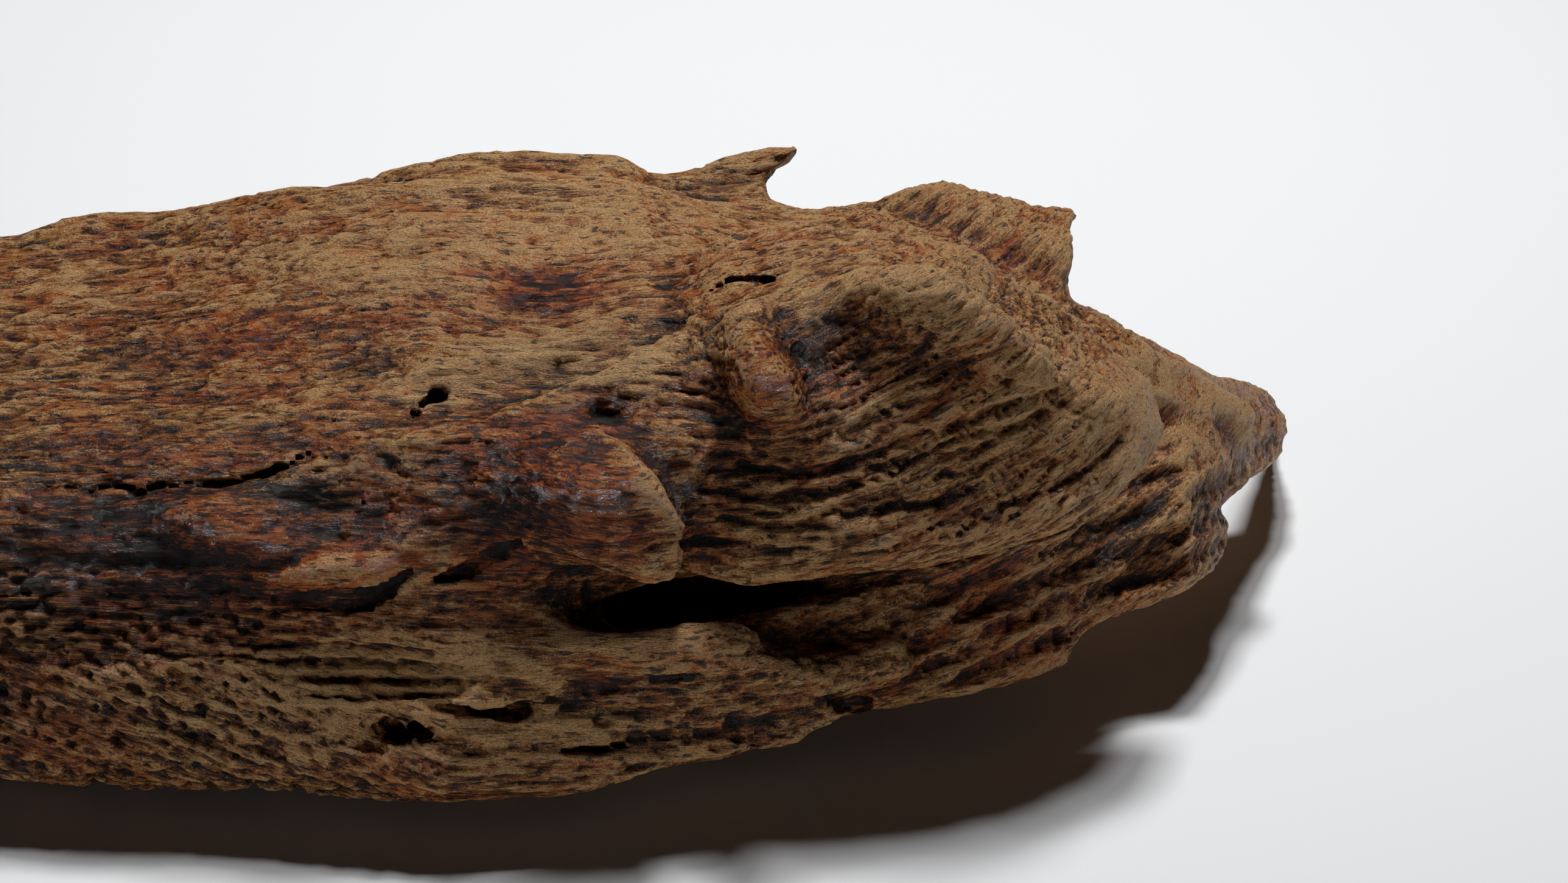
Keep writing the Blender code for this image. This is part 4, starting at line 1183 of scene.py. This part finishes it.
class AGARWOOD_OT_chunk(bpy.types.Operator):
    """Grow the chunk of wood with its relief, in place of the plain solid"""

    bl_idname = "agarwood.chunk"
    bl_label = "Chunk"

    def execute(self, context):
        sizes, look = context.scene.agarwood_chunk, context.scene.agarwood_wood
        cell = sizes.cell * 1
        cuts = []
        for path, half, depth in CRACKS:
            face = front_of(through(np.asarray(path, np.float32)))
            cuts.append((path, half, depth, face))
        points, quads = surface(partial(detailed_wood, cuts), LOW, HIGH, cell)
        points, quads = largest_shell(points, quads)
        low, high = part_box(NODE)
        stood = upright(points.astype(np.float32))
        middle = (stood.min(0) + stood.max(0)) / 2
        shift = np.array([*((low + high) / 2)[:2], 0]) * 1000 - [middle[0], middle[1], REST_HEIGHT]
        chunk = as_mesh("agarwood_chunk", (stood + shift) / 1000, quads)
        mesh = chunk.data
        corners = read(mesh, "vertices", "co", 3)[quads[:, :3]].astype(float)
        if np.linalg.det(corners).sum() < 0:
            mesh.flip_normals()
        normals = read(mesh, "vertex_normals", "vector", 3)
        out = relief(points.astype(np.float32)) * sizes.relief
        on_floor = stood[:, 2] < REST_HEIGHT + REST_MARGIN
        stood = stood + shift + normals * np.where(on_floor, 0, out)[:, None]
        stood[:, 2] = np.maximum(stood[:, 2], 0)
        mesh.vertices.foreach_set("co", (stood / 1000).astype(np.float32).ravel())
        mesh.update()
        thin = chunk.modifiers.new("Fewer triangles", "DECIMATE")
        thin.ratio = min(1.0, sizes.triangles / (2 * len(quads)))
        thin.use_collapse_triangulate = True
        graph = context.evaluated_depsgraph_get()
        finished = bpy.data.meshes.new_from_object(chunk.evaluated_get(graph))
        chunk.modifiers.clear()
        chunk.data = finished
        bpy.data.meshes.remove(mesh)
        finished.name = "agarwood_chunk"
        dress(chunk, shift)
        finished.shade_smooth()
        finished.materials.append(wood_material(look))
        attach(chunk, "root")
        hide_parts(NODE)
        return {"FINISHED"}


# Half the width of the floor and the spot that the lights face, in metres, and the camera's sensor
# in millimetres
HALF_FLOOR = 3.0
LIT_SPOT = (0, 0, 0.02)
SENSOR = 36
# Each light: kind, where it stands, and how large it is
LIGHTS = {
    "window": ("SUN", (0.05, 0.17, 0.52), {"angle": 0.12}),
    "lamp": ("AREA", (0.045, 0.15, 0.38), {"size": 0.06}),
    "paper": ("AREA", (-0.02, -0.36, 0.012), {"shape": "RECTANGLE", "size": 0.7, "size_y": 0.02}),
}


class AGARWOOD_OT_stage(bpy.types.Operator):
    """Lay the floor, hang the lights and set up the camera"""

    bl_idname = "agarwood.stage"
    bl_label = "Stage"

    def execute(self, context):
        scene, look = context.scene, context.scene.agarwood_stage
        corners = np.array(((-1, -1, 0), (1, -1, 0), (1, 1, 0), (-1, 1, 0))) * HALF_FLOOR
        floor = as_mesh("floor", corners, np.array(((0, 1, 2, 3),)))
        floor.data.materials.append(card_material(look.floor))

        aim = Vector(look.aim)
        back = Vector((0, -COSINE, SINE))
        view = bpy.data.cameras.new("camera")
        view.sensor_width = SENSOR
        view.lens = SENSOR * look.distance / look.width
        view.clip_start = 0.01
        camera = bpy.data.objects.new("camera", view)
        camera.location = aim + back * look.distance
        camera.rotation_euler = back.to_track_quat("Z", "Y").to_euler()
        scene.collection.objects.link(camera)
        scene.camera = camera

        for name, (kind, place, settings) in LIGHTS.items():
            light = bpy.data.lights.new(name, kind)
            light.energy = getattr(look, name)
            for setting, value in settings.items():
                setattr(light, setting, value)
            stand = bpy.data.objects.new(name, light)
            stand.location = place
            away = Vector(place) - Vector(LIT_SPOT)
            stand.rotation_euler = away.to_track_quat("Z", "Y").to_euler()
            scene.collection.objects.link(stand)

        world = bpy.data.worlds.new("room")
        world.use_nodes = True
        sky = world.node_tree.nodes["Background"]
        sky.inputs["Color"].default_value = colour("#e6eef8")
        sky.inputs["Strength"].default_value = look.fill
        scene.world = world
        scene.view_settings.view_transform = "Standard"
        return {"FINISHED"}


class AGARWOOD_PT_panel(bpy.types.Panel):
    """Lists the chunk, the stage and their settings"""

    bl_label = "Agarwood"
    bl_space_type = "VIEW_3D"
    bl_region_type = "UI"
    bl_category = "Agarwood"

    def draw(self, context):
        for operator, groups in STEPS_OF_WORK:
            box = self.layout.box()
            box.operator(operator.bl_idname)
            for group in groups:
                for name in GROUPS[group].__annotations__:
                    box.prop(getattr(context.scene, group), name)


GROUPS = {
    "agarwood_chunk": ChunkSettings,
    "agarwood_wood": WoodSettings,
    "agarwood_stage": StageSettings,
}
STEPS_OF_WORK = (
    (AGARWOOD_OT_chunk, ("agarwood_chunk", "agarwood_wood")),
    (AGARWOOD_OT_stage, ("agarwood_stage",)),
)
CLASSES = (*GROUPS.values(), *(operator for operator, _ in STEPS_OF_WORK), AGARWOOD_PT_panel)


def register():
    for made in CLASSES:
        bpy.utils.register_class(made)
    for name, group in GROUPS.items():
        setattr(bpy.types.Scene, name, bpy.props.PointerProperty(type=group))


def unregister():
    for name in GROUPS:
        delattr(bpy.types.Scene, name)
    for made in reversed(CLASSES):
        bpy.utils.unregister_class(made)


def main():
    register()
    bpy.ops.agarwood.chunk()
    bpy.ops.agarwood.stage()


if __name__ == "__main__":
    main()
